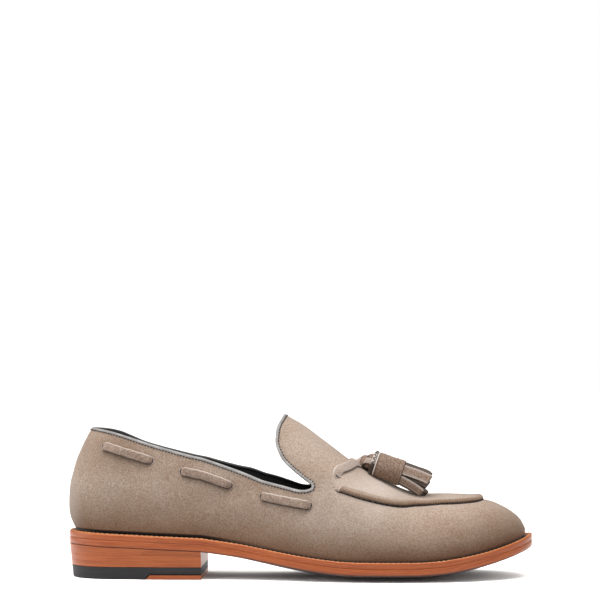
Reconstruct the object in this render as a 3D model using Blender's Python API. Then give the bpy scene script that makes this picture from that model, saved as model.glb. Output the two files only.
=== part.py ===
"""A men's suede tassel loafer for the right foot.

Metres, toe along +X, outer side along -Y, +Z up. The shoe stands on its heel and the
flat spot under its ball, and its origin is on the floor under the middle of the sole.
"""

import math

import bmesh
import bpy
import numpy as np

# Sole
SOLE_LENGTH = 0.300
BALL_WIDTH = 0.104
HEEL_WIDTH = 0.066
TOE_ROUND = 0.060
HEEL_ROUND = 0.036
TOE_SQUARE = 2.1
HEEL_SQUARE = 2.2
TOE_SWING = 0.005
HEEL_HEIGHT = 0.0217
SEAT_DROP = 0.0041
TOE_SPRING = 0.0197
TOE_CURVE = 1.75
ARCH_PULL = 1.0
SOLE_CROWN = 0.0044
OUTSOLE_THICKNESS = 0.0045
WELT_THICKNESS = 0.0037
EDGE_ROUND = 0.0007
GAP = 0.0003

# Heel
HEEL_LENGTH = 0.0876
HEEL_TAPER = 0.0023
TOP_LIFT_THICKNESS = 0.0080
LIFT_THICKNESS = 0.0037
LEATHER_PIECE_THICKNESS = 0.0028
LEATHER_PIECE_LENGTH = 0.0360
LEATHER_PIECE_SLANT = 0.0025

# Upper
UPPER_HEIGHT = 0.0875
WALL = 0.0020
APRON_STEP = 0.0020
APRON_EDGE = 0.0012
APRON_EDGE_ROUND = APRON_EDGE / 5
WELT_LEDGE = 0.0044
LASTING_MARGIN = 0.0100
FEATHER_ROUND = 0.0015
BINDING_HEIGHT = 0.0016
BINDING_PROUD = 0.0005
INSOLE_THICKNESS = 0.0025
INSOLE_CLEARANCE = 0.0010

# Lace and tassels
LACE_WIDTH = 0.0062
LACE_THICKNESS = 0.0019
KNOT_LENGTH = 0.0085
KNOT_WIDTH = 0.0170
KNOT_HEIGHT = 0.0095
KNOT_PLACE = 0.0437
NECK_DIAMETER = 0.0056
CAP_LENGTH = 0.0190
CAP_BACK_DIAMETER = 0.0150
CAP_FRONT_DIAMETER = 0.0168
CAP_SLOPE = math.radians(17.5)
CAP_SPREAD = 0.0006
FRINGE_LENGTH = 0.0180
STRIP_THICKNESS = 0.0017
STRIP_COUNT = 9
STRIP_SPREAD = 0.0006
STRIP_DROOP = 0.0004
FRINGE_CORE = 0.0016
INNER_STRIP_RADIUS = 0.0015

# Stretches of the sole along its length, as shares of it
FLAT_START = 0.643
FLAT_END = 0.743
FLAT_HALF = 0.25
WIDTH_CHANGE_START = 0.30
WIDTH_CHANGE_END = 0.65
SWING_START = 0.40
APRON_FADE_START = 0.475
APRON_FADE_LENGTH = 0.10
HEEL_CURVE_FADE = 0.19

# The section of the upper: how square it is upwards and outwards
SECTION_RISE = 2.4
SECTION_SPREAD = 2.58
SECTION_TUCK = 0.04
TUCK_TOP = 0.30

# Where the toe's dome begins, round the upper's loops
DOME_END = 0.20

# Half-breadths of the sole before its ends are rounded, as shares of the width there
PLAN = (
    ("along", "outer", "inner"),
    (0.00, 0.485, 0.485),
    (0.12, 0.480, 0.485),
    (0.20, 0.500, 0.500),
    (0.30, 0.500, 0.477),
    (0.40, 0.476, 0.388),
    (0.50, 0.478, 0.365),
    (0.60, 0.486, 0.412),
    (0.70, 0.503, 0.481),
    (0.80, 0.481, 0.490),
    (0.90, 0.442, 0.452),
    (1.00, 0.423, 0.423),
)

# How much of the crown the sole's edge has
CROWN = (
    ("along", "rise"),
    (0.000, 0.00),
    (0.286, 0.05),
    (0.390, 0.45),
    (0.477, 0.68),
    (0.563, 0.88),
    (0.650, 1.00),
    (0.740, 1.00),
    (0.823, 0.82),
    (0.910, 0.45),
    (0.977, 0.14),
    (1.000, 0.00),
)

# Height of the upper's ridge over the bed, as shares of the upper's height; behind the
# flap it is the height where the two walls would meet
RIDGE = (
    ("along", "height"),
    (0.000, 0.906),
    (0.180, 1.012),
    (0.307, 1.134),
    (0.350, 1.189),
    (0.400, 1.127),
    (0.474, 1.008),
    (0.498, 0.975),
    (0.542, 0.875),
    (0.585, 0.774),
    (0.630, 0.678),
    (0.680, 0.582),
    (0.724, 0.507),
    (0.746, 0.487),
    (0.773, 0.477),
    (0.802, 0.468),
    (0.846, 0.435),
    (0.876, 0.403),
    (0.911, 0.346),
    (0.933, 0.291),
    (0.954, 0.225),
    (0.976, 0.129),
    (0.985, 0.054),
)

# How far the heel's curve lies forward of the feather, by height over the bed; lengths
# are shares of the sole's length and heights shares of the upper's height
HEEL_CURVE = (
    ("height", "forward"),
    (0.000, -0.0010),
    (0.100, -0.0135),
    (0.174, -0.0162),
    (0.300, -0.0155),
    (0.433, -0.0073),
    (0.529, 0.0013),
    (0.600, 0.0100),
    (0.670, 0.0183),
    (0.760, 0.0293),
)

# The loops round one side of the upper: the feather, the apron's seam that goes on below
# the collar, and the rim. Round is the share of the loop from toe or peak to heel, across
# the share of the section from ridge to feather, height over the bed as elsewhere.
FEATHER = (
    ("round", "along"),
    (0.200, 0.785),
    (0.305, 0.670),
    (0.375, 0.595),
    (0.530, 0.460),
    (0.670, 0.350),
    (0.780, 0.250),
    (0.860, 0.120),
    (0.900, 0.075),
    (0.930, 0.046),
    (0.960, 0.026),
    (0.980, 0.018),
    (1.000, 0.015),
)
SEAM = (
    ("round", "along", "across"),
    (0.000, 0.892, 0.000),
    (0.030, 0.889, 0.100),
    (0.060, 0.879, 0.190),
    (0.100, 0.857, 0.255),
    (0.150, 0.825, 0.290),
    (0.200, 0.785, 0.308),
    (0.240, 0.750, 0.325),
    (0.275, 0.717, 0.410),
    (0.305, 0.680, 0.485),
    (0.340, 0.633, 0.530),
    (0.375, 0.580, 0.575),
    (0.405, 0.558, 0.630),
    (0.430, 0.540, 0.680),
    (0.460, 0.523, 0.725),
    (0.495, 0.505, 0.760),
    (0.530, 0.487, 0.780),
    (0.590, 0.453, 0.790),
    (0.670, 0.407, 0.790),
    (0.780, 0.270, 0.765),
    (0.860, 0.125, 0.710),
    (0.900, 0.078, 0.685),
    (0.930, 0.047, 0.665),
    (0.960, 0.026, 0.655),
    (0.980, 0.018, 0.650),
    (1.000, 0.015, 0.650),
)
RIM = (
    ("round", "along", "height"),
    (0.000, 0.470, 1.015),
    (0.080, 0.457, 0.905),
    (0.140, 0.455, 0.825),
    (0.200, 0.466, 0.726),
    (0.280, 0.504, 0.626),
    (0.340, 0.525, 0.586),
    (0.375, 0.531, 0.574),
    (0.405, 0.533, 0.552),
    (0.430, 0.531, 0.530),
    (0.460, 0.523, 0.509),
    (0.495, 0.510, 0.492),
    (0.530, 0.495, 0.486),
    (0.590, 0.470, 0.491),
    (0.670, 0.424, 0.495),
    (0.710, 0.381, 0.520),
    (0.745, 0.330, 0.546),
    (0.780, 0.275, 0.575),
    (0.860, 0.125, 0.690),
    (0.900, 0.078, 0.719),
    (0.930, 0.047, 0.731),
    (0.960, 0.026, 0.736),
    (0.980, 0.018, 0.737),
    (1.000, 0.015, 0.737),
)

# How much higher the rim lies on the inner side of the foot, by share of the upper's height
INNER_RIM = (
    ("round", "lift"),
    (0.000, 0.000),
    (0.450, 0.000),
    (0.585, 0.014),
    (0.660, 0.025),
    (0.698, 0.022),
    (0.728, 0.000),
    (0.757, -0.014),
    (0.804, -0.022),
    (0.838, -0.026),
    (0.870, -0.012),
    (0.900, -0.003),
    (0.930, 0.000),
    (1.000, 0.000),
)

# The collar lace where it shows: each run from its rear slot to its front slot
LACE_RUNS = (
    ("rear_along", "rear_height", "front_along", "front_height"),
    (0.074, 0.627, 0.180, 0.546),
    (0.254, 0.475, 0.350, 0.423),
    (0.425, 0.397, 0.520, 0.407),
)
END_SLOT_ALONG = 0.580
END_SLOT_ACROSS = 0.455


def read(table, column, at):
    """Smooth value of one column where the table's first column is at the given value."""
    pick = table[0].index(column)
    places = np.array([row[0] for row in table[1:]])
    values = np.array([row[pick] for row in table[1:]])
    steps = np.diff(places)
    slopes = np.diff(values) / steps
    tangents = np.zeros(len(places))
    tangents[0] = slopes[0]
    tangents[-1] = slopes[-1]
    same = slopes[:-1] * slopes[1:] > 0
    both = slopes[:-1] + slopes[1:]
    tangents[1:-1][same] = 2 * (slopes[:-1] * slopes[1:])[same] / both[same]
    at = np.clip(at, places[0], places[-1])
    cell = np.clip(np.searchsorted(places, at, side="right") - 1, 0, len(steps) - 1)
    t = (at - places[cell]) / steps[cell]
    start = (1 + 2 * t) * (1 - t) ** 2 * values[cell]
    end = t * t * (3 - 2 * t) * values[cell + 1]
    bend = t * (1 - t) * ((1 - t) * tangents[cell] - t * tangents[cell + 1]) * steps[cell]
    return start + end + bend


def smooth(share):
    """Soft step from 0 to 1."""
    share = np.clip(share, 0, 1)
    return share * share * (3 - 2 * share)


def along_of(x):
    return np.asarray(x) / SOLE_LENGTH + 0.5


def x_of(along):
    return (np.asarray(along) - 0.5) * SOLE_LENGTH


def round_end(share, square):
    """Half-breadth share at a share of the way out to a rounded end."""
    share = np.clip(share, 0, 1)
    return (1 - share ** square) ** (1 / square)


def half_breadth(side, x, inset):
    """Half-breadth of the plan at x, pulled in by an inset all round."""
    along = along_of(x)
    blend = smooth((along - WIDTH_CHANGE_START) / (WIDTH_CHANGE_END - WIDTH_CHANGE_START))
    width = HEEL_WIDTH + (BALL_WIDTH - HEEL_WIDTH) * blend
    column = "outer" if side < 0 else "inner"
    toe_start = SOLE_LENGTH / 2 - TOE_ROUND
    heel_start = HEEL_ROUND - SOLE_LENGTH / 2
    toe = round_end((x - toe_start) / (TOE_ROUND - inset), TOE_SQUARE)
    heel = round_end((heel_start - x) / (HEEL_ROUND - inset), HEEL_SQUARE)
    return (read(PLAN, column, along) * width - inset) * toe * heel


def underside(x):
    """Height of the outsole's underside on the middle line."""
    along = along_of(x)
    breast = HEEL_LENGTH / SOLE_LENGTH
    seat = HEEL_HEIGHT - SEAT_DROP * along / breast
    height = HEEL_HEIGHT - SEAT_DROP
    back = np.clip((FLAT_START - along) / (FLAT_START - breast), 0, 1)
    arch = height * ((3 - ARCH_PULL) * back ** 2 + (ARCH_PULL - 2) * back ** 3)
    ahead = np.clip((along - FLAT_END) / (1 - FLAT_END), 0, 1)
    return np.where(along < breast, seat, arch + TOE_SPRING * ahead ** TOE_CURVE)


def sole_level(x, y, rise):
    """Height of a layer of the sole, crowned across, at a rise over the underside."""
    half = np.where(y < 0, half_breadth(-1, x, 0), half_breadth(1, x, 0))
    out = np.clip(np.abs(y) / np.maximum(half, 1e-6), 0, 1)
    bend = (np.clip(out - FLAT_HALF, 0, 1) / (1 - FLAT_HALF)) ** 2
    return underside(x) + SOLE_CROWN * read(CROWN, "rise", along_of(x)) * bend + rise


WELT_BOTTOM = OUTSOLE_THICKNESS + GAP
WELT_TOP = WELT_BOTTOM + WELT_THICKNESS
BED = WELT_TOP + GAP


def swing(points):
    """Swing forefoot and heel apart in plan, the toe inwards, as a right last does."""
    points = np.array(points, dtype=float)
    share = (along_of(points[..., 0]) - SWING_START) / (1 - SWING_START)
    points[..., 1] += TOE_SWING * (smooth(share) - 0.5)
    return points


def feather_height(x):
    """Height of the lower edge of the upper's side wall."""
    edge = SOLE_CROWN * read(CROWN, "rise", along_of(x)) * 0.75
    return underside(x) + edge + BED + FEATHER_ROUND


def ridge_height(x):
    return underside(x) + BED + UPPER_HEIGHT * read(RIDGE, "height", along_of(x))


def across_of_height(x, z):
    """Share of the section from ridge to feather at a height."""
    low = feather_height(x)
    share = np.clip((z - low) / (ridge_height(x) - low), 0, 1)
    return np.arccos(share ** (SECTION_RISE / 2)) * 2 / math.pi


def upper_point(side, x, across):
    """Point on the upper's outer surface, without the apron's step."""
    x = np.asarray(x, dtype=float)
    across = np.asarray(across, dtype=float)
    angle = across * math.pi / 2
    share = np.clip(np.cos(angle), 0, 1) ** (2 / SECTION_RISE)
    low = feather_height(x)
    z = low + (ridge_height(x) - low) * share
    tuck = 1 - SECTION_TUCK * np.clip(1 - share / TUCK_TOP, 0, 1) ** 2
    half = half_breadth(side, x, WELT_LEDGE) * tuck
    y = side * half * np.clip(np.sin(angle), 0, 1) ** (2 / SECTION_SPREAD)
    height = (z - underside(x) - BED) / UPPER_HEIGHT
    fade = 1 - smooth((along_of(x) - WELT_LEDGE / SOLE_LENGTH) / HEEL_CURVE_FADE)
    forward = SOLE_LENGTH * read(HEEL_CURVE, "forward", height) * fade
    return np.stack([x + forward, y, z], axis=-1)


def top_of_upper(x, y):
    """Height of the upper's outer surface over a point of the plan."""
    side = 1 if y > 0 else -1
    half = half_breadth(side, x, WELT_LEDGE)
    out = np.clip(abs(y) / half, 0, 1) ** (SECTION_SPREAD / 2)
    low = feather_height(x)
    share = (1 - out ** 2) ** (1 / SECTION_RISE)
    return float(low + (ridge_height(x) - low) * share + apron_rise(x))


def slope_normal(x, y):
    """Normal of the upper's outer surface over a point of the plan."""
    small = 1e-3
    slope_x = (top_of_upper(x + small, y) - top_of_upper(x - small, y)) / (2 * small)
    slope_y = (top_of_upper(x, y + small) - top_of_upper(x, y - small)) / (2 * small)
    normal = np.array([-slope_x, -slope_y, 1.0])
    return normal / np.linalg.norm(normal)


def surface_frame(side, x, across):
    """Point and outward normal on the outer surface."""
    here = upper_point(side, x, across)
    fore = upper_point(side, x + 1e-4, across) - here
    down = upper_point(side, x, across + 0.002) - here
    normal = np.cross(fore, down) * side
    return here, normal / np.linalg.norm(normal)


def apron_rise(x):
    """How far the apron stands up over the vamp: it fades out into the flap."""
    return APRON_STEP * smooth((along_of(x) - APRON_FADE_START) / APRON_FADE_LENGTH)


def place_on_dome(x, across):
    """Elevation and bearing on the toe's dome of a point of the upper."""
    out = np.clip((x - (SOLE_LENGTH / 2 - TOE_ROUND)) / (TOE_ROUND - WELT_LEDGE), 0, 1)
    ring = np.sqrt(1 - out ** 2)
    elevation = np.arcsin(ring * np.cos(across * math.pi / 2))
    bearing = np.arctan2(ring * np.sin(across * math.pi / 2), out)
    return elevation, bearing


def lower_band(side, round_share, down):
    """Point between the seam, at down 0, and the feather, at down 1."""
    seam_x = x_of(read(SEAM, "along", round_share))
    seam_across = read(SEAM, "across", round_share)
    feather_x = x_of(read(FEATHER, "along", round_share))
    x = seam_x + (feather_x - seam_x) * down
    across = seam_across + (1 - seam_across) * down
    elevation, bearing = place_on_dome(seam_x, seam_across)
    elevation = elevation * (1 - down)
    bearing = bearing + (round_share / DOME_END * math.pi / 2 - bearing) * down
    out = np.cos(elevation) * np.cos(bearing)
    dome_x = SOLE_LENGTH / 2 - TOE_ROUND + (TOE_ROUND - WELT_LEDGE) * out
    dome_side = np.cos(elevation) * np.sin(bearing)
    dome_across = np.arctan2(dome_side, np.sin(elevation)) * 2 / math.pi
    dome_across = np.where(down >= 1, 1.0, dome_across)
    on_dome = round_share < DOME_END
    return upper_point(side, np.where(on_dome, dome_x, x), np.where(on_dome, dome_across, across))


def upper_band(side, round_share, up):
    """Point between the seam, at up 0, and the rim, at up 1."""
    seam_x = x_of(read(SEAM, "along", round_share))
    seam_across = read(SEAM, "across", round_share)
    rim_x = x_of(read(RIM, "along", round_share))
    height = read(RIM, "height", round_share) * UPPER_HEIGHT
    if side > 0:
        height = height + UPPER_HEIGHT * read(INNER_RIM, "lift", round_share)
    rim_across = across_of_height(rim_x, underside(rim_x) + BED + height)
    rim_across = np.where(round_share <= 0, 0.0, rim_across)
    x = seam_x + (rim_x - seam_x) * up
    start = 2 - smooth((round_share - 0.30) / 0.15)
    across = seam_across + (rim_across - seam_across) * up ** start
    return upper_point(side, x, across)


def whole_loop(sample, count):
    """Closed loop: the outer side from toe to heel, then the inner side back."""
    shares = np.linspace(0, 1, count + 1)
    outer = sample(-1, shares)
    inner = sample(1, shares)[1:-1][::-1]
    return np.concatenate([outer, inner])


def grid_normals(rows):
    """Outward normals of loops stacked from the rim down."""
    along = np.roll(rows, -1, axis=1) - np.roll(rows, 1, axis=1)
    down = np.gradient(rows, axis=0)
    normals = np.cross(along, down)
    normals /= np.linalg.norm(normals, axis=2, keepdims=True)
    middle = rows.mean(axis=(0, 1))
    if np.mean(np.sum(normals * (rows - middle), axis=2)) < 0:
        normals = -normals
    return normals


def plan_offset(loop, inset):
    """Loop moved inwards in plan."""
    tangent = np.roll(loop, -1, axis=0) - np.roll(loop, 1, axis=0)
    inward = np.stack([tangent[:, 1], -tangent[:, 0]], axis=1)
    inward /= np.linalg.norm(inward, axis=1, keepdims=True)
    if np.sum(inward * (loop[:, :2].mean(axis=0) - loop[:, :2])) < 0:
        inward = -inward
    return loop[:, :2] + inward * inset


def on_level(plan, rise):
    """Points of a plan laid on a layer of the sole."""
    return np.column_stack([plan, sole_level(plan[:, 0], plan[:, 1], rise)])


def make_material(name, colour, roughness):
    material = bpy.data.materials.new(name)
    material.use_nodes = True
    shader = material.node_tree.nodes["Principled BSDF"]
    shader.inputs["Base Color"].default_value = (*colour, 1.0)
    shader.inputs["Roughness"].default_value = roughness
    shader.inputs["Metallic"].default_value = 0.0
    material.diffuse_color = (*colour, 1.0)
    return material


def make_object(name, material, vertices, faces):
    """One closed object, its doubled points merged and its faces turned outwards."""
    mesh = bpy.data.meshes.new(name)
    mesh.from_pydata([tuple(map(float, v)) for v in swing(vertices)], [], faces)
    shape = bmesh.new()
    shape.from_mesh(mesh)
    bmesh.ops.remove_doubles(shape, verts=shape.verts, dist=1e-6)
    bmesh.ops.recalc_face_normals(shape, faces=shape.faces)
    shape.to_mesh(mesh)
    shape.free()
    mesh.materials.append(material)
    mesh.shade_smooth()
    mesh.set_sharp_from_angle(angle=math.radians(40))
    item = bpy.data.objects.new(name, mesh)
    bpy.context.scene.collection.objects.link(item)
    return item


def ring_body(name, material, loops):
    """Body like a tyre: closed loops joined one to the next and the last to the first."""
    loops = np.array(loops)
    rows, count, _ = loops.shape
    faces = []
    for row in range(rows):
        for place in range(count):
            ahead = (place + 1) % count
            below = (row + 1) % rows * count
            faces.append((row * count + place, row * count + ahead, below + ahead, below + place))
    return make_object(name, material, loops.reshape(-1, 3), faces)


def tube_body(name, material, sections):
    """Body through sections, closed by a cap at each end."""
    sections = np.array(sections)
    rows, count, _ = sections.shape
    faces = [tuple(range(count))[::-1], tuple(range((rows - 1) * count, rows * count))]
    for row in range(rows - 1):
        for place in range(count):
            ahead = (place + 1) % count
            base = row * count
            faces.append((base + place, base + ahead, base + count + ahead, base + count + place))
    return make_object(name, material, sections.reshape(-1, 3), faces)


def stations(inset, front):
    """Places along the sole, close together round its ends, as far as a front x."""
    back = [HEEL_ROUND - (HEEL_ROUND - inset) * math.sin(math.radians(a)) for a in range(90, 0, -15)]
    marks = [HEEL_ROUND / SOLE_LENGTH, HEEL_LENGTH / SOLE_LENGTH, FLAT_START, FLAT_END]
    marks.append(1 - TOE_ROUND / SOLE_LENGTH)
    steps = (3, 7, 3, 2)
    middle = []
    for start, end, count in zip(marks[:-1], marks[1:], steps):
        middle.extend(np.linspace(start, end, count, endpoint=False) * SOLE_LENGTH)
    toe_start = SOLE_LENGTH - TOE_ROUND
    toe = [toe_start + (TOE_ROUND - inset) * math.sin(math.radians(a)) for a in range(0, 91, 10)]
    places = np.array(back + middle + toe) - SOLE_LENGTH / 2
    if front is None:
        return places
    return np.append(places[places < front - 0.002], front)


COLUMNS = (-1.0, -0.8, -0.55, -FLAT_HALF, FLAT_HALF, 0.55, 0.8, 1.0)


def plan_grid(inset, front, extra):
    """Grid of plan points: a row for each station, from the outer to the inner edge."""
    places = np.unique(np.append(stations(inset, front), extra))
    share = np.array(COLUMNS)
    outer = half_breadth(-1, places, inset)[:, None]
    inner = half_breadth(1, places, inset)[:, None]
    y = np.where(share < 0, share * outer, share * inner)
    x = np.repeat(places[:, None], len(share), axis=1)
    return x, y


def plate_body(name, material, levels, front=None, extra=()):
    """Plate on the sole's plan: each level gives an inset and a height over the plan.

    The first level is the underside and the last the upper side.
    """
    layers = []
    for inset, height in levels:
        x, y = plan_grid(inset, front, extra)
        layers.append(np.stack([x, y, height(x, y)], axis=-1))
    rows, columns, _ = layers[0].shape
    edge = [(row, 0) for row in range(rows)]
    edge += [(rows - 1, column) for column in range(1, columns)]
    edge += [(row, columns - 1) for row in range(rows - 2, -1, -1)]
    edge += [(0, column) for column in range(columns - 2, 0, -1)]
    size = rows * columns
    faces = []
    for layer in (0, len(layers) - 1):
        for row in range(rows - 1):
            for column in range(columns - 1):
                corner = layer * size + row * columns + column
                faces.append((corner, corner + 1, corner + columns + 1, corner + columns))
    for layer in range(len(layers) - 1):
        for here, ahead in zip(edge, edge[1:] + edge[:1]):
            low = layer * size
            high = low + size
            a = here[0] * columns + here[1]
            b = ahead[0] * columns + ahead[1]
            faces.append((low + a, low + b, high + b, high + a))
    vertices = np.concatenate([layer.reshape(-1, 3) for layer in layers])
    item = make_object(name, material, vertices, faces)
    shape = bmesh.new()
    shape.from_mesh(item.data)
    loose = [vertex for vertex in shape.verts if not vertex.link_faces]
    bmesh.ops.delete(shape, geom=loose, context="VERTS")
    shape.to_mesh(item.data)
    shape.free()
    return item


def flat(height):
    return lambda x, y: np.full_like(x, height)


def layer_height(rise):
    return lambda x, y: sole_level(x, y, rise)


def make_outsole(material):
    levels = [
        (EDGE_ROUND, layer_height(0)),
        (0, layer_height(EDGE_ROUND)),
        (0, layer_height(OUTSOLE_THICKNESS - EDGE_ROUND / 3)),
        (EDGE_ROUND / 3, layer_height(OUTSOLE_THICKNESS)),
    ]
    plate_body("outsole", material, levels)


def plan_loop(inset):
    """Closed loop of the plan at an inset."""
    places = stations(inset, None)[::-1]
    outer = np.column_stack([places, -half_breadth(-1, places, inset)])
    inner = np.column_stack([places, half_breadth(1, places, inset)])[1:-1][::-1]
    return np.concatenate([outer, inner])


def make_welt(material):
    inner = WELT_LEDGE + LASTING_MARGIN
    outline = (
        (EDGE_ROUND / 3, WELT_BOTTOM),
        (0, WELT_BOTTOM + EDGE_ROUND / 3),
        (0, WELT_TOP - EDGE_ROUND),
        (EDGE_ROUND, WELT_TOP),
        (WELT_LEDGE, WELT_TOP),
        (inner, WELT_TOP),
        (inner, WELT_BOTTOM),
        (WELT_LEDGE, WELT_BOTTOM),
    )
    ring_body("welt", material, [on_level(plan_loop(inset), rise) for inset, rise in outline])


def taper_at(height):
    """How far the heel is drawn in at a height."""
    return HEEL_TAPER * (1 - height / HEEL_HEIGHT)


def make_heel(leather, rubber):
    breast = HEEL_LENGTH - SOLE_LENGTH / 2
    first = TOP_LIFT_THICKNESS
    second = first + LIFT_THICKNESS
    third = second + LIFT_THICKNESS
    seat = layer_height(-GAP)
    levels = [(taper_at(third), flat(third)), (taper_at(HEEL_HEIGHT), seat)]
    plate_body("heel_wedge", leather, levels, breast)
    for name, low, high in (("heel_lift_1", second, third), ("heel_lift_2", first, second)):
        levels = [(taper_at(low), flat(low)), (taper_at(high - GAP), flat(high - GAP))]
        plate_body(name, leather, levels, breast)

    joint = breast - LEATHER_PIECE_LENGTH
    ceiling = LEATHER_PIECE_THICKNESS + GAP

    def rubber_underside(x, y):
        return ceiling * np.clip((x - joint) / LEATHER_PIECE_SLANT, 0, 1)

    levels = [
        (taper_at(0) + EDGE_ROUND, rubber_underside),
        (taper_at(0), lambda x, y: rubber_underside(x, y) + EDGE_ROUND),
        (taper_at(first), flat(first - GAP)),
    ]
    corners = (joint, joint + LEATHER_PIECE_SLANT)
    plate_body("top_lift_rubber", rubber, levels, breast, corners)
    make_leather_piece(leather, joint, breast)


def make_leather_piece(material, joint, breast):
    """Thin leather piece under the front of the rubber, its rear end slanted."""
    rear_low = joint + 2 * GAP
    sections = []
    for low_x, high_x in ((rear_low, rear_low + LEATHER_PIECE_SLANT), (breast, breast)):
        section = []
        for side, x, height in (
            (-1, low_x, 0.0),
            (1, low_x, 0.0),
            (1, high_x, LEATHER_PIECE_THICKNESS),
            (-1, high_x, LEATHER_PIECE_THICKNESS),
        ):
            half = half_breadth(side, np.array(x), taper_at(height))
            section.append((x, side * float(half), height))
        sections.append(section)
    middle = [tuple(np.mean(pair, axis=0)) for pair in zip(*sections)]
    for corner, (x, y, height) in enumerate(middle):
        side = -1 if y < 0 else 1
        middle[corner] = (x, side * float(half_breadth(side, np.array(x), taper_at(height))), height)
    tube_body("top_lift_leather", material, [sections[0], middle, sections[1]])


LOOP_STEPS = 36
LOWER_STEPS = 7
UPPER_STEPS = 9


def outer_rows():
    """Loops of the upper's outer surface from the rim to the feather, and the apron's rise.

    The last value of each row says how much of the step it takes.
    """
    rows = []
    for up in np.linspace(1, 1 / UPPER_STEPS, UPPER_STEPS):
        rows.append((whole_loop(lambda side, s, up=up: upper_band(side, s, up), LOOP_STEPS), 1.0))
    seam = whole_loop(lambda side, s: upper_band(side, s, 0), LOOP_STEPS)
    reach = np.linalg.norm(rows[-1][0] - seam, axis=1)
    for distance, share in ((APRON_EDGE, 1.0), (APRON_EDGE_ROUND, 0.65)):
        toward = np.minimum(distance / reach, 0.8)[:, None]
        rows.append((seam + (rows[UPPER_STEPS - 1][0] - seam) * toward, share))
    for down in np.linspace(0, 1, LOWER_STEPS + 1):
        rows.append((whole_loop(lambda side, s, down=down: lower_band(side, s, down), LOOP_STEPS), 0.0))
    return rows


def make_upper(material):
    """One hollow wall, open at the collar and underneath. Returns the rim for the binding."""
    rows = outer_rows()
    base = np.array([row for row, _ in rows])
    share = np.array([part for _, part in rows])[:, None]
    normals = grid_normals(base)
    raised = base + normals * (apron_rise(base[..., 0]) * share)[..., None]
    kept = list(range(0, UPPER_STEPS, 2)) + list(range(UPPER_STEPS + 2, len(rows), 2))
    if kept[-1] != len(rows) - 1:
        kept.append(len(rows) - 1)
    inside = base - normals * WALL
    feather = base[-1]
    corner = on_level(plan_offset(feather, FEATHER_ROUND * 0.8), BED)
    edge = plan_offset(feather, LASTING_MARGIN)
    inner_corner = on_level(plan_offset(feather, WALL + FEATHER_ROUND * 0.5), BED + WALL)
    loops = list(raised)
    loops += [corner, on_level(edge, BED), on_level(edge, BED + WALL), inner_corner]
    loops += [inside[row] for row in reversed(kept)]
    ring_body("upper", material, loops)
    return raised[0], inside[0], raised[1]


def make_binding(material, rim, inner_rim, below):
    """Rounded leather bead on the rim."""
    across = rim - inner_rim
    across /= np.linalg.norm(across, axis=1, keepdims=True)
    tangent = np.roll(rim, -1, axis=0) - np.roll(rim, 1, axis=0)
    tangent /= np.linalg.norm(tangent, axis=1, keepdims=True)
    rise = np.cross(tangent, across)
    rise /= np.linalg.norm(rise, axis=1, keepdims=True)
    rise *= np.sign(np.sum(rise * (rim - below), axis=1, keepdims=True))
    middle = (rim + inner_rim) / 2 + rise * (GAP + BINDING_HEIGHT / 2)
    loops = []
    for turn in np.radians(np.arange(22.5, 360, 45)):
        out = np.sign(math.cos(turn)) * abs(math.cos(turn)) ** 0.8
        up = np.sign(math.sin(turn)) * abs(math.sin(turn)) ** 0.8
        width = (WALL / 2 + BINDING_PROUD) / 0.92
        loops.append(middle + across * width * out + rise * BINDING_HEIGHT / 1.84 * up)
    ring_body("topline_binding", material, loops)


def make_insole(material):
    """Insole on the lasting margin, its filling down to the outsole inside the welt."""
    inner = WELT_LEDGE + LASTING_MARGIN + SECTION_TUCK * BALL_WIDTH / 2 + INSOLE_CLEARANCE
    outer = WELT_LEDGE + SECTION_TUCK * BALL_WIDTH / 2 + WALL + FEATHER_ROUND * 0.5 + INSOLE_CLEARANCE
    seat = BED + WALL + GAP
    levels = [
        (inner, layer_height(OUTSOLE_THICKNESS + GAP)),
        (inner, layer_height(seat)),
        (outer, layer_height(seat)),
        (outer, layer_height(seat + INSOLE_THICKNESS)),
    ]
    plate_body("insole", material, levels)


def strap_section(centre, along, normal, width, thickness):
    """Rounded section of a flat thong."""
    along = along / np.linalg.norm(along)
    side = np.cross(along, normal)
    side /= np.linalg.norm(side)
    up = np.cross(side, along)
    points = []
    for out, rise in ((-1, 0), (-0.85, -1), (0.85, -1), (1, 0), (0.85, 1), (-0.85, 1)):
        points.append(centre + side * width / 2 * out + up * thickness / 2 * rise)
    return points


def make_lace_run(name, material, side, run):
    """One visible run of the collar lace, from slot to slot."""
    run = dict(zip(LACE_RUNS[0], run))
    shares = (0.0, 0.06, 0.25, 0.5, 0.75, 0.94, 1.0)
    widths = (0.55, 0.95, 1.0, 1.0, 1.0, 0.95, 0.55)
    centres = []
    normals = []
    for share in shares:
        x = x_of(run["rear_along"] + (run["front_along"] - run["rear_along"]) * share)
        front = run["front_height"] - run["rear_height"]
        height = run["rear_height"] + front * share
        across = across_of_height(x, underside(x) + BED + height * UPPER_HEIGHT)
        point, normal = surface_frame(side, x, across)
        centres.append(point + normal * (GAP + LACE_THICKNESS / 2))
        normals.append(normal)
    centres = np.array(centres)
    steps = np.gradient(centres, axis=0)
    sections = []
    for place, width in enumerate(widths):
        section = strap_section(centres[place], steps[place], normals[place],
                                LACE_WIDTH * width, LACE_THICKNESS)
        sections.append(section)
    tube_body(name, material, sections)


def rest_on_vamp(points, clearance):
    """Lift that brings points down onto the vamp, with a clearance."""
    return max(top_of_upper(x, y) - z for x, y, z in points) + clearance


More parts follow.
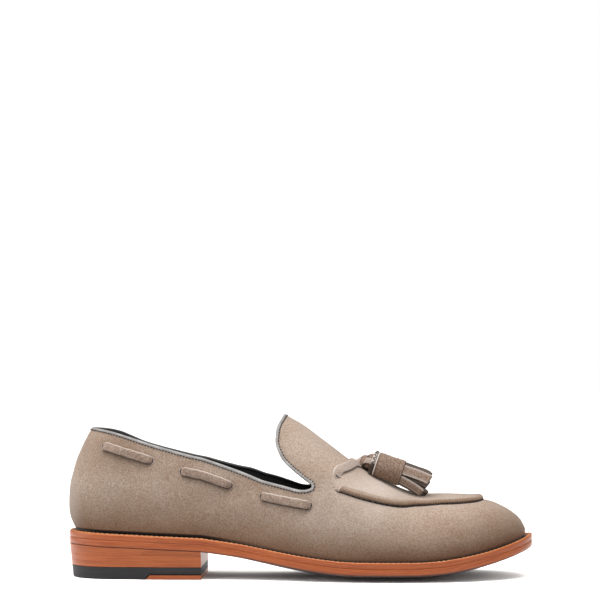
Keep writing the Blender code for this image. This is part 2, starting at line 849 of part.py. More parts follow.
def knot_form(points):
    """Points of a unit ball as the knot's rounded, pinched form round its own middle."""
    points = np.sign(points) * np.abs(points) ** 0.75
    points[:, 0] *= 1 - 0.12 * np.cos(points[:, 1] * 9.0)
    points = points * np.array([KNOT_LENGTH, KNOT_WIDTH, KNOT_HEIGHT]) / 2
    tilted = points.copy()
    tilted[:, 0] = points[:, 0] * math.cos(CAP_SLOPE) + points[:, 2] * math.sin(CAP_SLOPE)
    tilted[:, 2] = points[:, 2] * math.cos(CAP_SLOPE) - points[:, 0] * math.sin(CAP_SLOPE)
    return tilted


def knot_centre():
    turns = np.radians(np.arange(0, 360, 15))
    under = [(math.cos(a) * math.sin(b), math.sin(a) * math.sin(b), -math.cos(b))
             for a in turns for b in np.radians((0, 20, 40, 60, 80))]
    points = knot_form(np.array(under)) + np.array([KNOT_PLACE, 0.0, 0.0])
    return np.array([KNOT_PLACE, 0.0, rest_on_vamp(points, 2 * GAP)])


def tassel_line(side):
    """Rear centre and direction of a tassel that lies on the vamp beside the knot."""
    direction = np.array([math.cos(CAP_SLOPE), side * 0.03, -math.sin(CAP_SLOPE)])
    direction /= np.linalg.norm(direction)
    start = np.array([KNOT_PLACE + KNOT_LENGTH / 2, side * (CAP_FRONT_DIAMETER / 2 + CAP_SPREAD), 0.0])
    up = np.array([math.sin(CAP_SLOPE), 0.0, math.cos(CAP_SLOPE)])
    lowest = []
    for share in np.linspace(0, 1, 7):
        radius = (CAP_BACK_DIAMETER + (CAP_FRONT_DIAMETER - CAP_BACK_DIAMETER) * share) / 2
        for turn in np.radians((-60, -30, 0, 30, 60)):
            aside = np.array([0.0, math.sin(turn) * radius, 0.0])
            lowest.append(start + direction * CAP_LENGTH * share - up * radius * math.cos(turn) + aside)
    start[2] = rest_on_vamp(lowest, 2 * GAP)
    return start, direction


def ring_frame(direction):
    side = np.cross(direction, (0.0, 0.0, 1.0))
    side /= np.linalg.norm(side)
    return side, np.cross(side, direction)


def circle(centre, direction, radius, turns):
    side, up = ring_frame(direction)
    return [centre + radius * (side * math.cos(t) + up * math.sin(t)) for t in turns]


def make_tassel_cap(name, material, side):
    start, direction = tassel_line(side)
    turns = np.radians(np.arange(0, 360, 22.5))
    profile = (
        (0.0, CAP_BACK_DIAMETER / 2 - EDGE_ROUND),
        (EDGE_ROUND, CAP_BACK_DIAMETER / 2),
        (CAP_LENGTH * 0.5, (CAP_BACK_DIAMETER + CAP_FRONT_DIAMETER) / 4 + EDGE_ROUND / 4),
        (CAP_LENGTH - EDGE_ROUND, CAP_FRONT_DIAMETER / 2),
        (CAP_LENGTH, CAP_FRONT_DIAMETER / 2 - EDGE_ROUND),
    )
    sections = [circle(start + direction * d, direction, r, turns) for d, r in profile]
    tube_body(name, material, sections)


def make_fringe(name, material, side):
    """Fringe under a cap: a core disc with a ring of outer strips and three inner ones."""
    start, direction = tassel_line(side)
    across, up = ring_frame(direction)
    root = start + direction * (CAP_LENGTH + GAP)
    outer = CAP_FRONT_DIAMETER / 2 - 2 * EDGE_ROUND
    inner = INNER_STRIP_RADIUS
    rings = (inner, inner + STRIP_THICKNESS, outer - STRIP_THICKNESS, outer)
    pitch = 2 * math.pi / STRIP_COUNT
    covered = 0.86
    turns = []
    for strip in range(STRIP_COUNT):
        turns += [strip * pitch, strip * pitch + pitch * covered]
    count = len(turns)

    def point(radius, turn, distance, splay, droop):
        spot = root + direction * distance - np.array([0.0, 0.0, droop])
        return spot + (radius + splay) * (across * math.cos(turn) + up * math.sin(turn))

    vertices = [root.copy()]
    faces = []
    for turn in turns:
        vertices.append(point(outer, turn, 0.0, 0.0, 0.0))
    front = len(vertices)
    for radius in rings:
        for turn in turns:
            vertices.append(point(radius, turn, FRINGE_CORE, 0.0, 0.0))
    hub = len(vertices)
    vertices.append(root + direction * FRINGE_CORE)
    outer_front = front + 3 * count
    for place in range(count):
        ahead = (place + 1) % count
        faces.append((0, 1 + ahead, 1 + place))
        faces.append((1 + place, 1 + ahead, outer_front + ahead, outer_front + place))
        faces.append((hub, front + place, front + ahead))
        faces.append((front + count + place, front + 2 * count + place,
                      front + 2 * count + ahead, front + count + ahead))

    def add_strip(ring, first, last, reach, spread, sag):
        """Pull a patch of the core's face out into a strip."""
        low = front + ring * count
        patch = []
        for place in range(first, last + 1):
            patch.append((low + place % count, low + count + place % count))
        loop = [pair[0] for pair in patch] + [pair[1] for pair in reversed(patch)]
        below = loop
        for share in (0.35, 0.7, 1.0):
            ahead = []
            for index in loop:
                ring_of = (index - front) // count
                turn = turns[(index - front) % count]
                spot = point(rings[ring_of], turn, FRINGE_CORE + reach * share,
                             spread * share ** 1.5, sag * share ** 2)
                ahead.append(len(vertices))
                vertices.append(spot)
            for k, index in enumerate(below):
                after = (k + 1) % len(below)
                faces.append((index, below[after], ahead[after], ahead[k]))
            below = ahead
        half = len(patch)
        for k in range(half - 1):
            faces.append((below[k], below[k + 1], below[2 * half - 2 - k], below[2 * half - 1 - k]))

    for strip in range(STRIP_COUNT):
        first = 2 * strip
        height = math.sin(turns[first] + pitch * covered / 2)
        reach = FRINGE_LENGTH * (0.93 + 0.07 * math.cos(2.4 * strip))
        add_strip(2, first, first + 1, reach, STRIP_SPREAD, STRIP_DROOP * (1 + height))
        gap = (first + 1, (first + 2) % count)
        low = front + 2 * count
        faces.append((low + gap[0], low + count + gap[0], low + count + gap[1], low + gap[1]))
    for strip in range(3):
        first = strip * 6
        add_strip(0, first, first + 5, FRINGE_LENGTH * 0.85, 0.0, 0.0)
        ends = (first + 5, (first + 6) % count)
        faces.append((front + ends[0], front + count + ends[0], front + count + ends[1], front + ends[1]))
    make_object(name, material, vertices, faces)


def make_knot(material):
    """Knot with the two necks that go into the tassels."""
    centre = knot_centre()
    shape = bmesh.new()
    bmesh.ops.create_uvsphere(shape, u_segments=16, v_segments=10, radius=1.0)
    mesh = bpy.data.meshes.new("knot")
    shape.to_mesh(mesh)
    shape.free()
    points = swing(knot_form(np.array([vertex.co for vertex in mesh.vertices])) + centre)
    for vertex, spot in zip(mesh.vertices, points):
        vertex.co = spot
    mesh.materials.append(material)
    mesh.shade_smooth()
    knot = bpy.data.objects.new("knot", mesh)
    bpy.context.scene.collection.objects.link(knot)
    for side in (-1, 1):
        start, direction = tassel_line(side)
        inner = centre + np.array([0.0, side * KNOT_WIDTH * 0.30, 0.0])
        end = start - direction * GAP
        turns = np.radians(np.arange(0, 360, 45))
        sections = [
            circle(inner, end - inner, NECK_DIAMETER * 0.42, turns),
            circle((inner + end) / 2, end - inner, NECK_DIAMETER * 0.5, turns),
            circle(end, direction, NECK_DIAMETER * 0.42, turns),
        ]
        neck = tube_body("neck_form", material, sections)
        neck.hide_render = True
        neck.display_type = "WIRE"
        join = knot.modifiers.new("neck", "BOOLEAN")
        join.operation = "UNION"
        join.solver = "EXACT"
        join.object = neck


def make_lace_end(name, material, side):
    """The lace's end, from its slot over the vamp to the knot."""
    start_x = float(x_of(END_SLOT_ALONG))
    begin, _ = surface_frame(side, start_x, END_SLOT_ACROSS)
    centre = knot_centre()
    finish = centre + np.array([-KNOT_LENGTH / 2 - LACE_WIDTH * 0.30, side * KNOT_WIDTH * 0.32, 0.0])
    begin[2] += apron_rise(start_x)
    clearance = 3 * GAP + LACE_THICKNESS * 0.6
    centres = []
    normals = []
    for share in (0.0, 0.07, 0.25, 0.5, 0.75, 1.0):
        x = begin[0] + (finish[0] - begin[0]) * share
        z = begin[2] + (finish[2] - begin[2]) * share
        across = across_of_height(x, z - apron_rise(x))
        y = side * max(abs(upper_point(side, x, across)[1]), abs(finish[1]))
        normal = slope_normal(x, y)
        rest = top_of_upper(x, y) + clearance / normal[2]
        centres.append(np.array([x, y, max(rest, z)]))
        normals.append(normal)
    centres = np.array(centres)
    steps = np.gradient(centres, axis=0)
    sections = []
    for place, width in enumerate((0.6, 0.95, 1.0, 1.0, 0.9, 0.7)):
        section = strap_section(centres[place], steps[place], normals[place],
                                LACE_WIDTH * width, LACE_THICKNESS)
        sections.append(section)
    tube_body(name, material, sections)


def main():
    for item in list(bpy.data.objects):
        bpy.data.objects.remove(item, do_unlink=True)
    suede = make_material("suede", (0.42, 0.33, 0.26), 0.95)
    sole_leather = make_material("sole_leather", (0.52, 0.22, 0.09), 0.55)
    rubber = make_material("rubber", (0.02, 0.025, 0.035), 0.6)
    binding = make_material("binding_leather", (0.36, 0.33, 0.31), 0.5)
    lining = make_material("lining_leather", (0.02, 0.02, 0.02), 0.7)
    make_outsole(sole_leather)
    make_welt(sole_leather)
    make_heel(sole_leather, rubber)
    rim, inner_rim, below = make_upper(suede)
    make_binding(binding, rim, inner_rim, below)
    make_insole(lining)
    for side, word in ((-1, "lateral"), (1, "medial")):
        for number, run in enumerate(LACE_RUNS[1:], start=1):
            make_lace_run(f"collar_lace_{word}_{number}", suede, side, run)
        make_lace_end(f"lace_end_{word}", suede, side)
        make_tassel_cap(f"tassel_cap_{word}", suede, side)
        make_fringe(f"tassel_fringe_{word}", suede, side)
    make_knot(suede)


main()
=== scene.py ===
import math

import bmesh
import bpy
import numpy as np
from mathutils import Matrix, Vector, kdtree


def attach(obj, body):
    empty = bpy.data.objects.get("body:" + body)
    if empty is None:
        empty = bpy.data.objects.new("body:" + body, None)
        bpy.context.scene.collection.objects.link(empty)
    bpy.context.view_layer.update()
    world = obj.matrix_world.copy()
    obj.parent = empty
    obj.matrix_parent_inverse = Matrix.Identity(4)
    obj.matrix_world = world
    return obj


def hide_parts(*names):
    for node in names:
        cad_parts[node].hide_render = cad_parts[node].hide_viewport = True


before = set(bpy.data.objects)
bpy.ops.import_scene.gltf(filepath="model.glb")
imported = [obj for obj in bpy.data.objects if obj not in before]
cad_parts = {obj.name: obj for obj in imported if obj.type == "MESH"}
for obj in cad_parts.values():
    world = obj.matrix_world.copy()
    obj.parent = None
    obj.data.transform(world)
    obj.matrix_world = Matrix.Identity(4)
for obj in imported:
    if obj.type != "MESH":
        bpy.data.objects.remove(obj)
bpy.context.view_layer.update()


# The last that every piece is laid on. Lengths are metres. The tables hold shares of the
# sole's length, of the width there or of the upper's height.
last = {
    "soleLength": 0.300,
    "ballWidth": 0.104,
    "heelWidth": 0.066,
    "toeRound": 0.060,
    "heelRound": 0.036,
    "toeSquare": 2.1,
    "heelSquare": 2.2,
    "toeSwing": 0.005,
    "swingStart": 0.40,
    "widthStart": 0.30,
    "widthEnd": 0.65,
    "heelHeight": 0.0217,
    "heelLength": 0.0876,
    "archPull": 1.0,
    "heelTaper": 0.0023,
    "seatDrop": 0.0041,
    "toeSpring": 0.0197,
    "toeCurve": 1.75,
    "soleCrown": 0.0044,
    "flatStart": 0.643,
    "flatEnd": 0.743,
    "flatHalf": 0.25,
    "outsoleThickness": 0.0045,
    "weltThickness": 0.0037,
    "weltLedge": 0.0044,
    "lastingMargin": 0.010,
    "featherRound": 0.0015,
    "featherCrown": 0.75,
    "gap": 0.0003,
    "upperHeight": 0.0875,
    "apronStep": 0.0020,
    "apronStart": 0.475,
    "apronBlend": 0.10,
    "rise": 2.4,
    "spread": 2.58,
    "tuck": 0.04,
    "tuckTop": 0.30,
    "domeEnd": 0.20,
    "leanEnd": 0.19,
    "bandStart": 0.30,
    "bandBlend": 0.15,
}
bed = last["outsoleThickness"] + last["weltThickness"] + 2 * last["gap"]

planTable = (
    ("along", "outer", "inner"),
    (0.00, 0.485, 0.485),
    (0.12, 0.480, 0.485),
    (0.20, 0.500, 0.500),
    (0.30, 0.500, 0.477),
    (0.40, 0.476, 0.388),
    (0.50, 0.478, 0.365),
    (0.60, 0.486, 0.412),
    (0.70, 0.503, 0.481),
    (0.80, 0.481, 0.490),
    (0.90, 0.442, 0.452),
    (1.00, 0.423, 0.423),
)
crownTable = (
    ("along", "rise"),
    (0.000, 0.00),
    (0.286, 0.05),
    (0.390, 0.45),
    (0.477, 0.68),
    (0.563, 0.88),
    (0.650, 1.00),
    (0.740, 1.00),
    (0.823, 0.82),
    (0.910, 0.45),
    (0.977, 0.14),
    (1.000, 0.00),
)
ridgeTable = (
    ("along", "height"),
    (0.000, 0.906),
    (0.180, 1.012),
    (0.307, 1.134),
    (0.350, 1.189),
    (0.400, 1.127),
    (0.474, 1.008),
    (0.498, 0.975),
    (0.542, 0.875),
    (0.585, 0.774),
    (0.630, 0.678),
    (0.680, 0.582),
    (0.724, 0.507),
    (0.746, 0.487),
    (0.773, 0.477),
    (0.802, 0.468),
    (0.846, 0.435),
    (0.876, 0.403),
    (0.911, 0.346),
    (0.933, 0.291),
    (0.954, 0.225),
    (0.976, 0.129),
    (0.985, 0.054),
)
heelTable = (
    ("height", "forward"),
    (0.000, -0.0010),
    (0.100, -0.0135),
    (0.174, -0.0162),
    (0.300, -0.0155),
    (0.433, -0.0073),
    (0.529, 0.0013),
    (0.600, 0.0100),
    (0.670, 0.0196),
    (0.760, 0.0352),
)
featherTable = (
    ("round", "along"),
    (0.200, 0.785),
    (0.305, 0.670),
    (0.375, 0.595),
    (0.530, 0.460),
    (0.670, 0.350),
    (0.780, 0.250),
    (0.860, 0.120),
    (0.900, 0.075),
    (0.930, 0.046),
    (0.960, 0.026),
    (0.980, 0.018),
    (1.000, 0.015),
)
seamTable = (
    ("round", "along", "across"),
    (0.000, 0.892, 0.000),
    (0.030, 0.889, 0.100),
    (0.060, 0.879, 0.190),
    (0.100, 0.857, 0.255),
    (0.150, 0.825, 0.290),
    (0.200, 0.785, 0.308),
    (0.240, 0.750, 0.325),
    (0.275, 0.717, 0.410),
    (0.305, 0.680, 0.485),
    (0.340, 0.633, 0.530),
    (0.375, 0.580, 0.575),
    (0.405, 0.558, 0.630),
    (0.430, 0.540, 0.680),
    (0.460, 0.523, 0.725),
    (0.495, 0.505, 0.760),
    (0.530, 0.487, 0.780),
    (0.590, 0.453, 0.790),
    (0.670, 0.407, 0.790),
    (0.780, 0.270, 0.765),
    (0.860, 0.125, 0.710),
    (0.900, 0.078, 0.685),
    (0.930, 0.047, 0.665),
    (0.960, 0.026, 0.655),
    (0.980, 0.018, 0.650),
    (1.000, 0.015, 0.650),
)
rimTable = (
    ("round", "along", "height"),
    (0.000, 0.470, 1.015),
    (0.080, 0.457, 0.905),
    (0.140, 0.455, 0.825),
    (0.200, 0.466, 0.726),
    (0.280, 0.504, 0.626),
    (0.340, 0.525, 0.586),
    (0.375, 0.531, 0.574),
    (0.405, 0.533, 0.552),
    (0.430, 0.531, 0.530),
    (0.460, 0.523, 0.509),
    (0.495, 0.510, 0.492),
    (0.530, 0.495, 0.486),
    (0.590, 0.470, 0.491),
    (0.670, 0.424, 0.495),
    (0.710, 0.381, 0.520),
    (0.745, 0.330, 0.546),
    (0.780, 0.275, 0.575),
    (0.860, 0.125, 0.690),
    (0.900, 0.078, 0.719),
    (0.930, 0.047, 0.731),
    (0.960, 0.026, 0.736),
    (0.980, 0.018, 0.737),
    (1.000, 0.015, 0.737),
)
innerRimTable = (
    ("round", "lift"),
    (0.000, 0.000),
    (0.450, 0.000),
    (0.585, 0.014),
    (0.660, 0.025),
    (0.698, 0.022),
    (0.728, 0.000),
    (0.757, -0.014),
    (0.804, -0.022),
    (0.838, -0.026),
    (0.870, -0.012),
    (0.900, -0.003),
    (0.930, 0.000),
    (1.000, 0.000),
)


# Smooth value of one column of a table
def readTable(table, column, at):
    pick = table[0].index(column)
    places = np.array([row[0] for row in table[1:]])
    values = np.array([row[pick] for row in table[1:]])
    steps = np.diff(places)
    slopes = np.diff(values) / steps
    tangents = np.zeros(len(places))
    tangents[0] = slopes[0]
    tangents[-1] = slopes[-1]
    same = slopes[:-1] * slopes[1:] > 0
    both = slopes[:-1] + slopes[1:]
    tangents[1:-1][same] = 2 * (slopes[:-1] * slopes[1:])[same] / both[same]
    at = np.clip(at, places[0], places[-1])
    cell = np.clip(np.searchsorted(places, at, side="right") - 1, 0, len(steps) - 1)
    t = (at - places[cell]) / steps[cell]
    start = (1 + 2 * t) * (1 - t) ** 2 * values[cell]
    end = t * t * (3 - 2 * t) * values[cell + 1]
    bend = t * (1 - t) * ((1 - t) * tangents[cell] - t * tangents[cell + 1]) * steps[cell]
    return start + end + bend


# Rows of a table, each by the names of its columns
def rowsOf(table):
    return [dict(zip(table[0], row)) for row in table[1:]]


def softStep(share):
    share = np.clip(share, 0, 1)
    return share * share * (3 - 2 * share)


def unit(vectors):
    vectors = np.asarray(vectors, dtype=float)
    return vectors / np.maximum(np.linalg.norm(vectors, axis=-1, keepdims=True), 1e-12)


def alongOf(x):
    return np.asarray(x) / last["soleLength"] + 0.5


def xOf(along):
    return (np.asarray(along) - 0.5) * last["soleLength"]


def roundEnd(share, square):
    share = np.clip(share, 0, 1)
    return (1 - share ** square) ** (1 / square)


# Half-breadth of the plan at x, pulled in all round by an inset
def halfBreadth(side, x, inset):
    along = alongOf(x)
    blend = softStep((along - last["widthStart"]) / (last["widthEnd"] - last["widthStart"]))
    width = last["heelWidth"] + (last["ballWidth"] - last["heelWidth"]) * blend
    toeStart = last["soleLength"] / 2 - last["toeRound"]
    heelStart = last["heelRound"] - last["soleLength"] / 2
    toe = roundEnd((x - toeStart) / (last["toeRound"] - inset), last["toeSquare"])
    heel = roundEnd((heelStart - x) / (last["heelRound"] - inset), last["heelSquare"])
    column = "outer" if side < 0 else "inner"
    return (readTable(planTable, column, along) * width - inset) * toe * heel


def underside(x):
    along = alongOf(x)
    breast = last["heelLength"] / last["soleLength"]
    seat = last["heelHeight"] - last["seatDrop"] * along / breast
    height = last["heelHeight"] - last["seatDrop"]
    pull = last["archPull"]
    back = np.clip((last["flatStart"] - along) / (last["flatStart"] - breast), 0, 1)
    arch = height * ((3 - pull) * back ** 2 + (pull - 2) * back ** 3)
    ahead = np.clip((along - last["flatEnd"]) / (1 - last["flatEnd"]), 0, 1)
    return np.where(along < breast, seat, arch + last["toeSpring"] * ahead ** last["toeCurve"])


# Height of a layer of the sole, crowned across
def soleLevel(x, y, rise):
    half = np.where(y < 0, halfBreadth(-1, x, 0), halfBreadth(1, x, 0))
    out = np.clip(np.abs(y) / np.maximum(half, 1e-6), 0, 1)
    bend = (np.clip(out - last["flatHalf"], 0, 1) / (1 - last["flatHalf"])) ** 2
    return underside(x) + last["soleCrown"] * readTable(crownTable, "rise", alongOf(x)) * bend + rise


# Forefoot and heel swing apart in plan, as on a right last
def swing(points):
    points = np.array(points, dtype=float)
    share = (alongOf(points[..., 0]) - last["swingStart"]) / (1 - last["swingStart"])
    points[..., 1] += last["toeSwing"] * (softStep(share) - 0.5)
    return points


def featherHeight(x):
    edge = last["soleCrown"] * readTable(crownTable, "rise", alongOf(x)) * last["featherCrown"]
    return underside(x) + edge + bed + last["featherRound"]


def ridgeHeight(x):
    return underside(x) + bed + last["upperHeight"] * readTable(ridgeTable, "height", alongOf(x))


# Share of the way down the section at which it has a given height
def acrossOfHeight(x, z):
    low = featherHeight(x)
    share = np.clip((z - low) / (ridgeHeight(x) - low), 0, 1)
    return np.arccos(share ** (last["rise"] / 2)) * 2 / math.pi


# Point on the upper's outer surface, without the apron's step
def upperPoint(side, x, across):
    x = np.asarray(x, dtype=float)
    angle = np.asarray(across, dtype=float) * math.pi / 2
    share = np.clip(np.cos(angle), 0, 1) ** (2 / last["rise"])
    low = featherHeight(x)
    z = low + (ridgeHeight(x) - low) * share
    tuck = 1 - last["tuck"] * np.clip(1 - share / last["tuckTop"], 0, 1) ** 2
    half = halfBreadth(side, x, last["weltLedge"]) * tuck
    y = side * half * np.clip(np.sin(angle), 0, 1) ** (2 / last["spread"])
    height = (z - underside(x) - bed) / last["upperHeight"]
    fade = 1 - softStep((alongOf(x) - last["weltLedge"] / last["soleLength"]) / last["leanEnd"])
    forward = last["soleLength"] * readTable(heelTable, "forward", height) * fade
    return np.stack([x + forward, y, z], axis=-1)


def apronRise(x):
    return last["apronStep"] * softStep((alongOf(x) - last["apronStart"]) / last["apronBlend"])


# Height of the upper's outer surface over a point of the plan, apron included
def topOfUpper(x, y):
    x = np.asarray(x, dtype=float)
    y = np.asarray(y, dtype=float)
    inset = last["weltLedge"]
    half = np.where(y > 0, halfBreadth(1, x, inset), halfBreadth(-1, x, inset))
    out = np.clip(np.abs(y) / half, 0, 1) ** (last["spread"] / 2)
    low = featherHeight(x)
    share = (1 - out ** 2) ** (1 / last["rise"])
    return low + (ridgeHeight(x) - low) * share + apronRise(x)


# Elevation and bearing on the toe's dome
def placeOnDome(x, across):
    out = np.clip((x - (last["soleLength"] / 2 - last["toeRound"]))
                  / (last["toeRound"] - last["weltLedge"]), 0, 1)
    ring = np.sqrt(1 - out ** 2)
    elevation = np.arcsin(ring * np.cos(across * math.pi / 2))
    bearing = np.arctan2(ring * np.sin(across * math.pi / 2), out)
    return elevation, bearing


# Point between the apron's seam, at down 0, and the feather, at down 1
def lowerBand(side, share, down):
    seamX = xOf(readTable(seamTable, "along", share))
    seamAcross = readTable(seamTable, "across", share)
    featherX = xOf(readTable(featherTable, "along", share))
    x = seamX + (featherX - seamX) * down
    across = seamAcross + (1 - seamAcross) * down
    elevation, bearing = placeOnDome(seamX, seamAcross)
    elevation = elevation * (1 - down)
    bearing = bearing + (share / last["domeEnd"] * math.pi / 2 - bearing) * down
    out = np.cos(elevation) * np.cos(bearing)
    domeX = last["soleLength"] / 2 - last["toeRound"] + (last["toeRound"] - last["weltLedge"]) * out
    domeSide = np.cos(elevation) * np.sin(bearing)
    domeAcross = np.arctan2(domeSide, np.sin(elevation)) * 2 / math.pi
    domeAcross = np.where(down >= 1, 1.0, domeAcross)
    onDome = share < last["domeEnd"]
    return upperPoint(side, np.where(onDome, domeX, x), np.where(onDome, domeAcross, across))


# Point between the seam, at up 0, and the rim, at up 1
def upperBand(side, share, up):
    seamX = xOf(readTable(seamTable, "along", share))
    seamAcross = readTable(seamTable, "across", share)
    rimX = xOf(readTable(rimTable, "along", share))
    height = readTable(rimTable, "height", share) * last["upperHeight"]
    if side > 0:
        height = height + last["upperHeight"] * readTable(innerRimTable, "lift", share)
    rimAcross = acrossOfHeight(rimX, underside(rimX) + bed + height)
    rimAcross = np.where(share <= 0, 0.0, rimAcross)
    start = 2 - softStep((share - last["bandStart"]) / last["bandBlend"])
    x = seamX + (rimX - seamX) * up
    return upperPoint(side, x, seamAcross + (rimAcross - seamAcross) * up ** start)


# Point and outward normal on the outer surface
def surfaceFrame(side, x, across):
    here = upperPoint(side, x, across)
    fore = upperPoint(side, np.asarray(x) + 1e-4, across) - here
    down = upperPoint(side, x, np.asarray(across) + 0.002) - here
    return here, unit(np.cross(fore, down) * side)


# Normal of the height field over the plan
def topNormal(x, y):
    small = 5e-4
    slopeX = (topOfUpper(x + small, y) - topOfUpper(x - small, y)) / (2 * small)
    slopeY = (topOfUpper(x, y + small) - topOfUpper(x, y - small)) / (2 * small)
    return unit(np.stack([-slopeX, -slopeY, np.ones_like(slopeX)], axis=-1))


# Gentle unevenness of worked leather, between -1 and 1
def ripple(x, y, z, length, phase=0.0):
    k = 2 * math.pi / length
    first = np.sin(k * (x + 0.6 * z) + phase) * np.cos(k * (0.8 * y - 0.5 * z) + 1.7 * phase)
    second = np.sin(k * 1.7 * (0.5 * x - y + z) + 2.1 * phase + 1.0)
    return 0.6 * first + 0.4 * second


# A socket that takes part in sums: each operator adds its Math node
class Wire:
    def __init__(self, paint, socket):
        self.paint = paint
        self.socket = socket

    def joined(self, operation, first, second):
        return self.paint.node("ShaderNodeMath", {"operation": operation}, {0: first, 1: second})

    def __add__(self, other):
        return self.joined("ADD", self, other)

    def __radd__(self, other):
        return self.joined("ADD", other, self)

    def __sub__(self, other):
        return self.joined("SUBTRACT", self, other)

    def __rsub__(self, other):
        return self.joined("SUBTRACT", other, self)

    def __mul__(self, other):
        return self.joined("MULTIPLY", self, other)

    def __rmul__(self, other):
        return self.joined("MULTIPLY", other, self)


# One material while it is painted
class Paint:
    def __init__(self, name):
        self.material = bpy.data.materials.new(name)
        self.material.use_nodes = True
        self.tree = self.material.node_tree
        self.shader = self.tree.nodes["Principled BSDF"]
        self.place = self.node("ShaderNodeTexCoord", output="Object")

    def node(self, kind, settings=None, sockets=None, output=0):
        made = self.tree.nodes.new(kind)
        for name, value in (settings or {}).items():
            if name == "stops":
                self.setStops(made.color_ramp, value)
            else:
                setattr(made, name, value)
        for name, value in (sockets or {}).items():
            self.feed(made.inputs[name], value)
        return Wire(self, made.outputs[output])

    def feed(self, socket, value):
        if isinstance(value, Wire):
            self.tree.links.new(value.socket, socket)
        else:
            socket.default_value = value

    def setStops(self, ramp, stops):
        while len(ramp.elements) > 1:
            ramp.elements.remove(ramp.elements[-1])
        ramp.elements[0].position, ramp.elements[0].color = stops[0]
        for position, colour in stops[1:]:
            ramp.elements.new(position).color = colour

    # Noise whose grains are about so long, in metres, stretched along each axis
    def noise(self, length, detail=2.0, rough=0.5, stretch=(1, 1, 1), place=None):
        scaled = self.node("ShaderNodeMapping", {}, {"Vector": place or self.place,
                                                     "Scale": [1 / (length * s) for s in stretch]})
        return self.node("ShaderNodeTexNoise", {}, {"Vector": scaled, "Scale": 1.0, "Detail": detail,
                                                    "Roughness": rough})

    def attribute(self, name):
        return self.node("ShaderNodeAttribute", {"attribute_name": name}, output="Fac")

    def ramp(self, value, stops):
        grey = [(place, (level, level, level, 1)) for place, level in stops]
        return self.node("ShaderNodeValToRGB", {"stops": grey}, {"Fac": value})

    def mix(self, share, first, second):
        return self.node("ShaderNodeMix", {"data_type": "RGBA"}, {0: share, 6: first, 7: second}, 2)

    def bump(self, height, distance, strength=1.0):
        return self.node("ShaderNodeBump", {}, {"Height": height, "Distance": distance,
                                                "Strength": strength})

    def finish(self, **sockets):
        for name, value in sockets.items():
            self.feed(self.shader.inputs[name.replace("_", " ")], value)
        return self.material


# Colours are written as seen on a screen, from 0 to 255
def colour(red, green, blue):
    def linear(value):
        value = value / 255
        return value / 12.92 if value <= 0.04045 else ((value + 0.055) / 1.055) ** 2.4
    return (linear(red), linear(green), linear(blue), 1.0)


# Suede colours: the brown one is painted into shade at the bottom, in hollows, creases and grooves; the
# near black one is dark dye together with painted shade in gaps and openings; raw is the pale of raw
# edges and also of painted highlights
suede = {
    "pale": colour(203, 187, 173),
    "dark": colour(141, 109, 84),
    "thongPale": colour(196, 174, 158),
    "thongDark": colour(104, 80, 64),
    "paintedShade": colour(102, 69, 38),
    "ink": colour(14, 12, 14),
    "raw": colour(232, 221, 212),
    "nap": 0.00042,
    "grain": 0.00095,
    "mottle": 0.0036,
    "cloud": 0.028,
    "sheen": 0.30,
    "sheenTint": colour(244, 236, 230),
    "bump": 0.00022,
    "thongBump": 0.00040,
}


def paintSuede(name, dark, pale, bumpiness):
    paint = Paint(name)
    nap = paint.noise(suede["nap"], 3.0, 0.6)
    grain = paint.noise(suede["grain"], 2.0, 0.6)
    mottle = paint.noise(suede["mottle"], 2.0)
    cloud = paint.noise(suede["cloud"], 2.0)
    tone = paint.ramp(nap, ((0.34, 0.0), (0.68, 1.0))) * 0.27
    tone = tone + paint.ramp(grain, ((0.37, 0.0), (0.63, 1.0))) * 0.42
    tone = tone + paint.ramp(mottle, ((0.30, 0.0), (0.70, 1.0))) * 0.08
    tone = tone + paint.ramp(cloud, ((0.32, 0.0), (0.68, 1.0))) * 0.17
    base = paint.mix(tone, dark, pale)
    # Painted shade toward the brown, raw edges and painted highlights toward the raw pale, dark dye and
    # painted shade toward near black
    base = paint.mix(paint.attribute("shade"), base, suede["paintedShade"])
    base = paint.mix(paint.attribute("edge"), base, suede["raw"])
    base = paint.mix(paint.attribute("ink"), base, suede["ink"])
    height = nap * 0.5 + grain * 0.9 + mottle * 0.8
    return paint.finish(Base_Color=base, Roughness=0.95, Specular_IOR_Level=0.2,
                        Sheen_Weight=suede["sheen"], Sheen_Roughness=0.45,
                        Sheen_Tint=suede["sheenTint"], Normal=paint.bump(height, bumpiness, 0.8))


# The top colour is a painted highlight, on the welt's rounded top and the outsole's top edge
soleLeather = {
    "light": colour(188, 103, 54),
    "mid": colour(162, 77, 37),
    "red": colour(126, 46, 20),
    "top": colour(204, 118, 62),
    "gloss": 0.35,
    "wax": 0.12,
    "lines": 0.00042,
    "bands": 0.0016,
    "fibre": 0.0004,
    "bump": 0.00010,
}


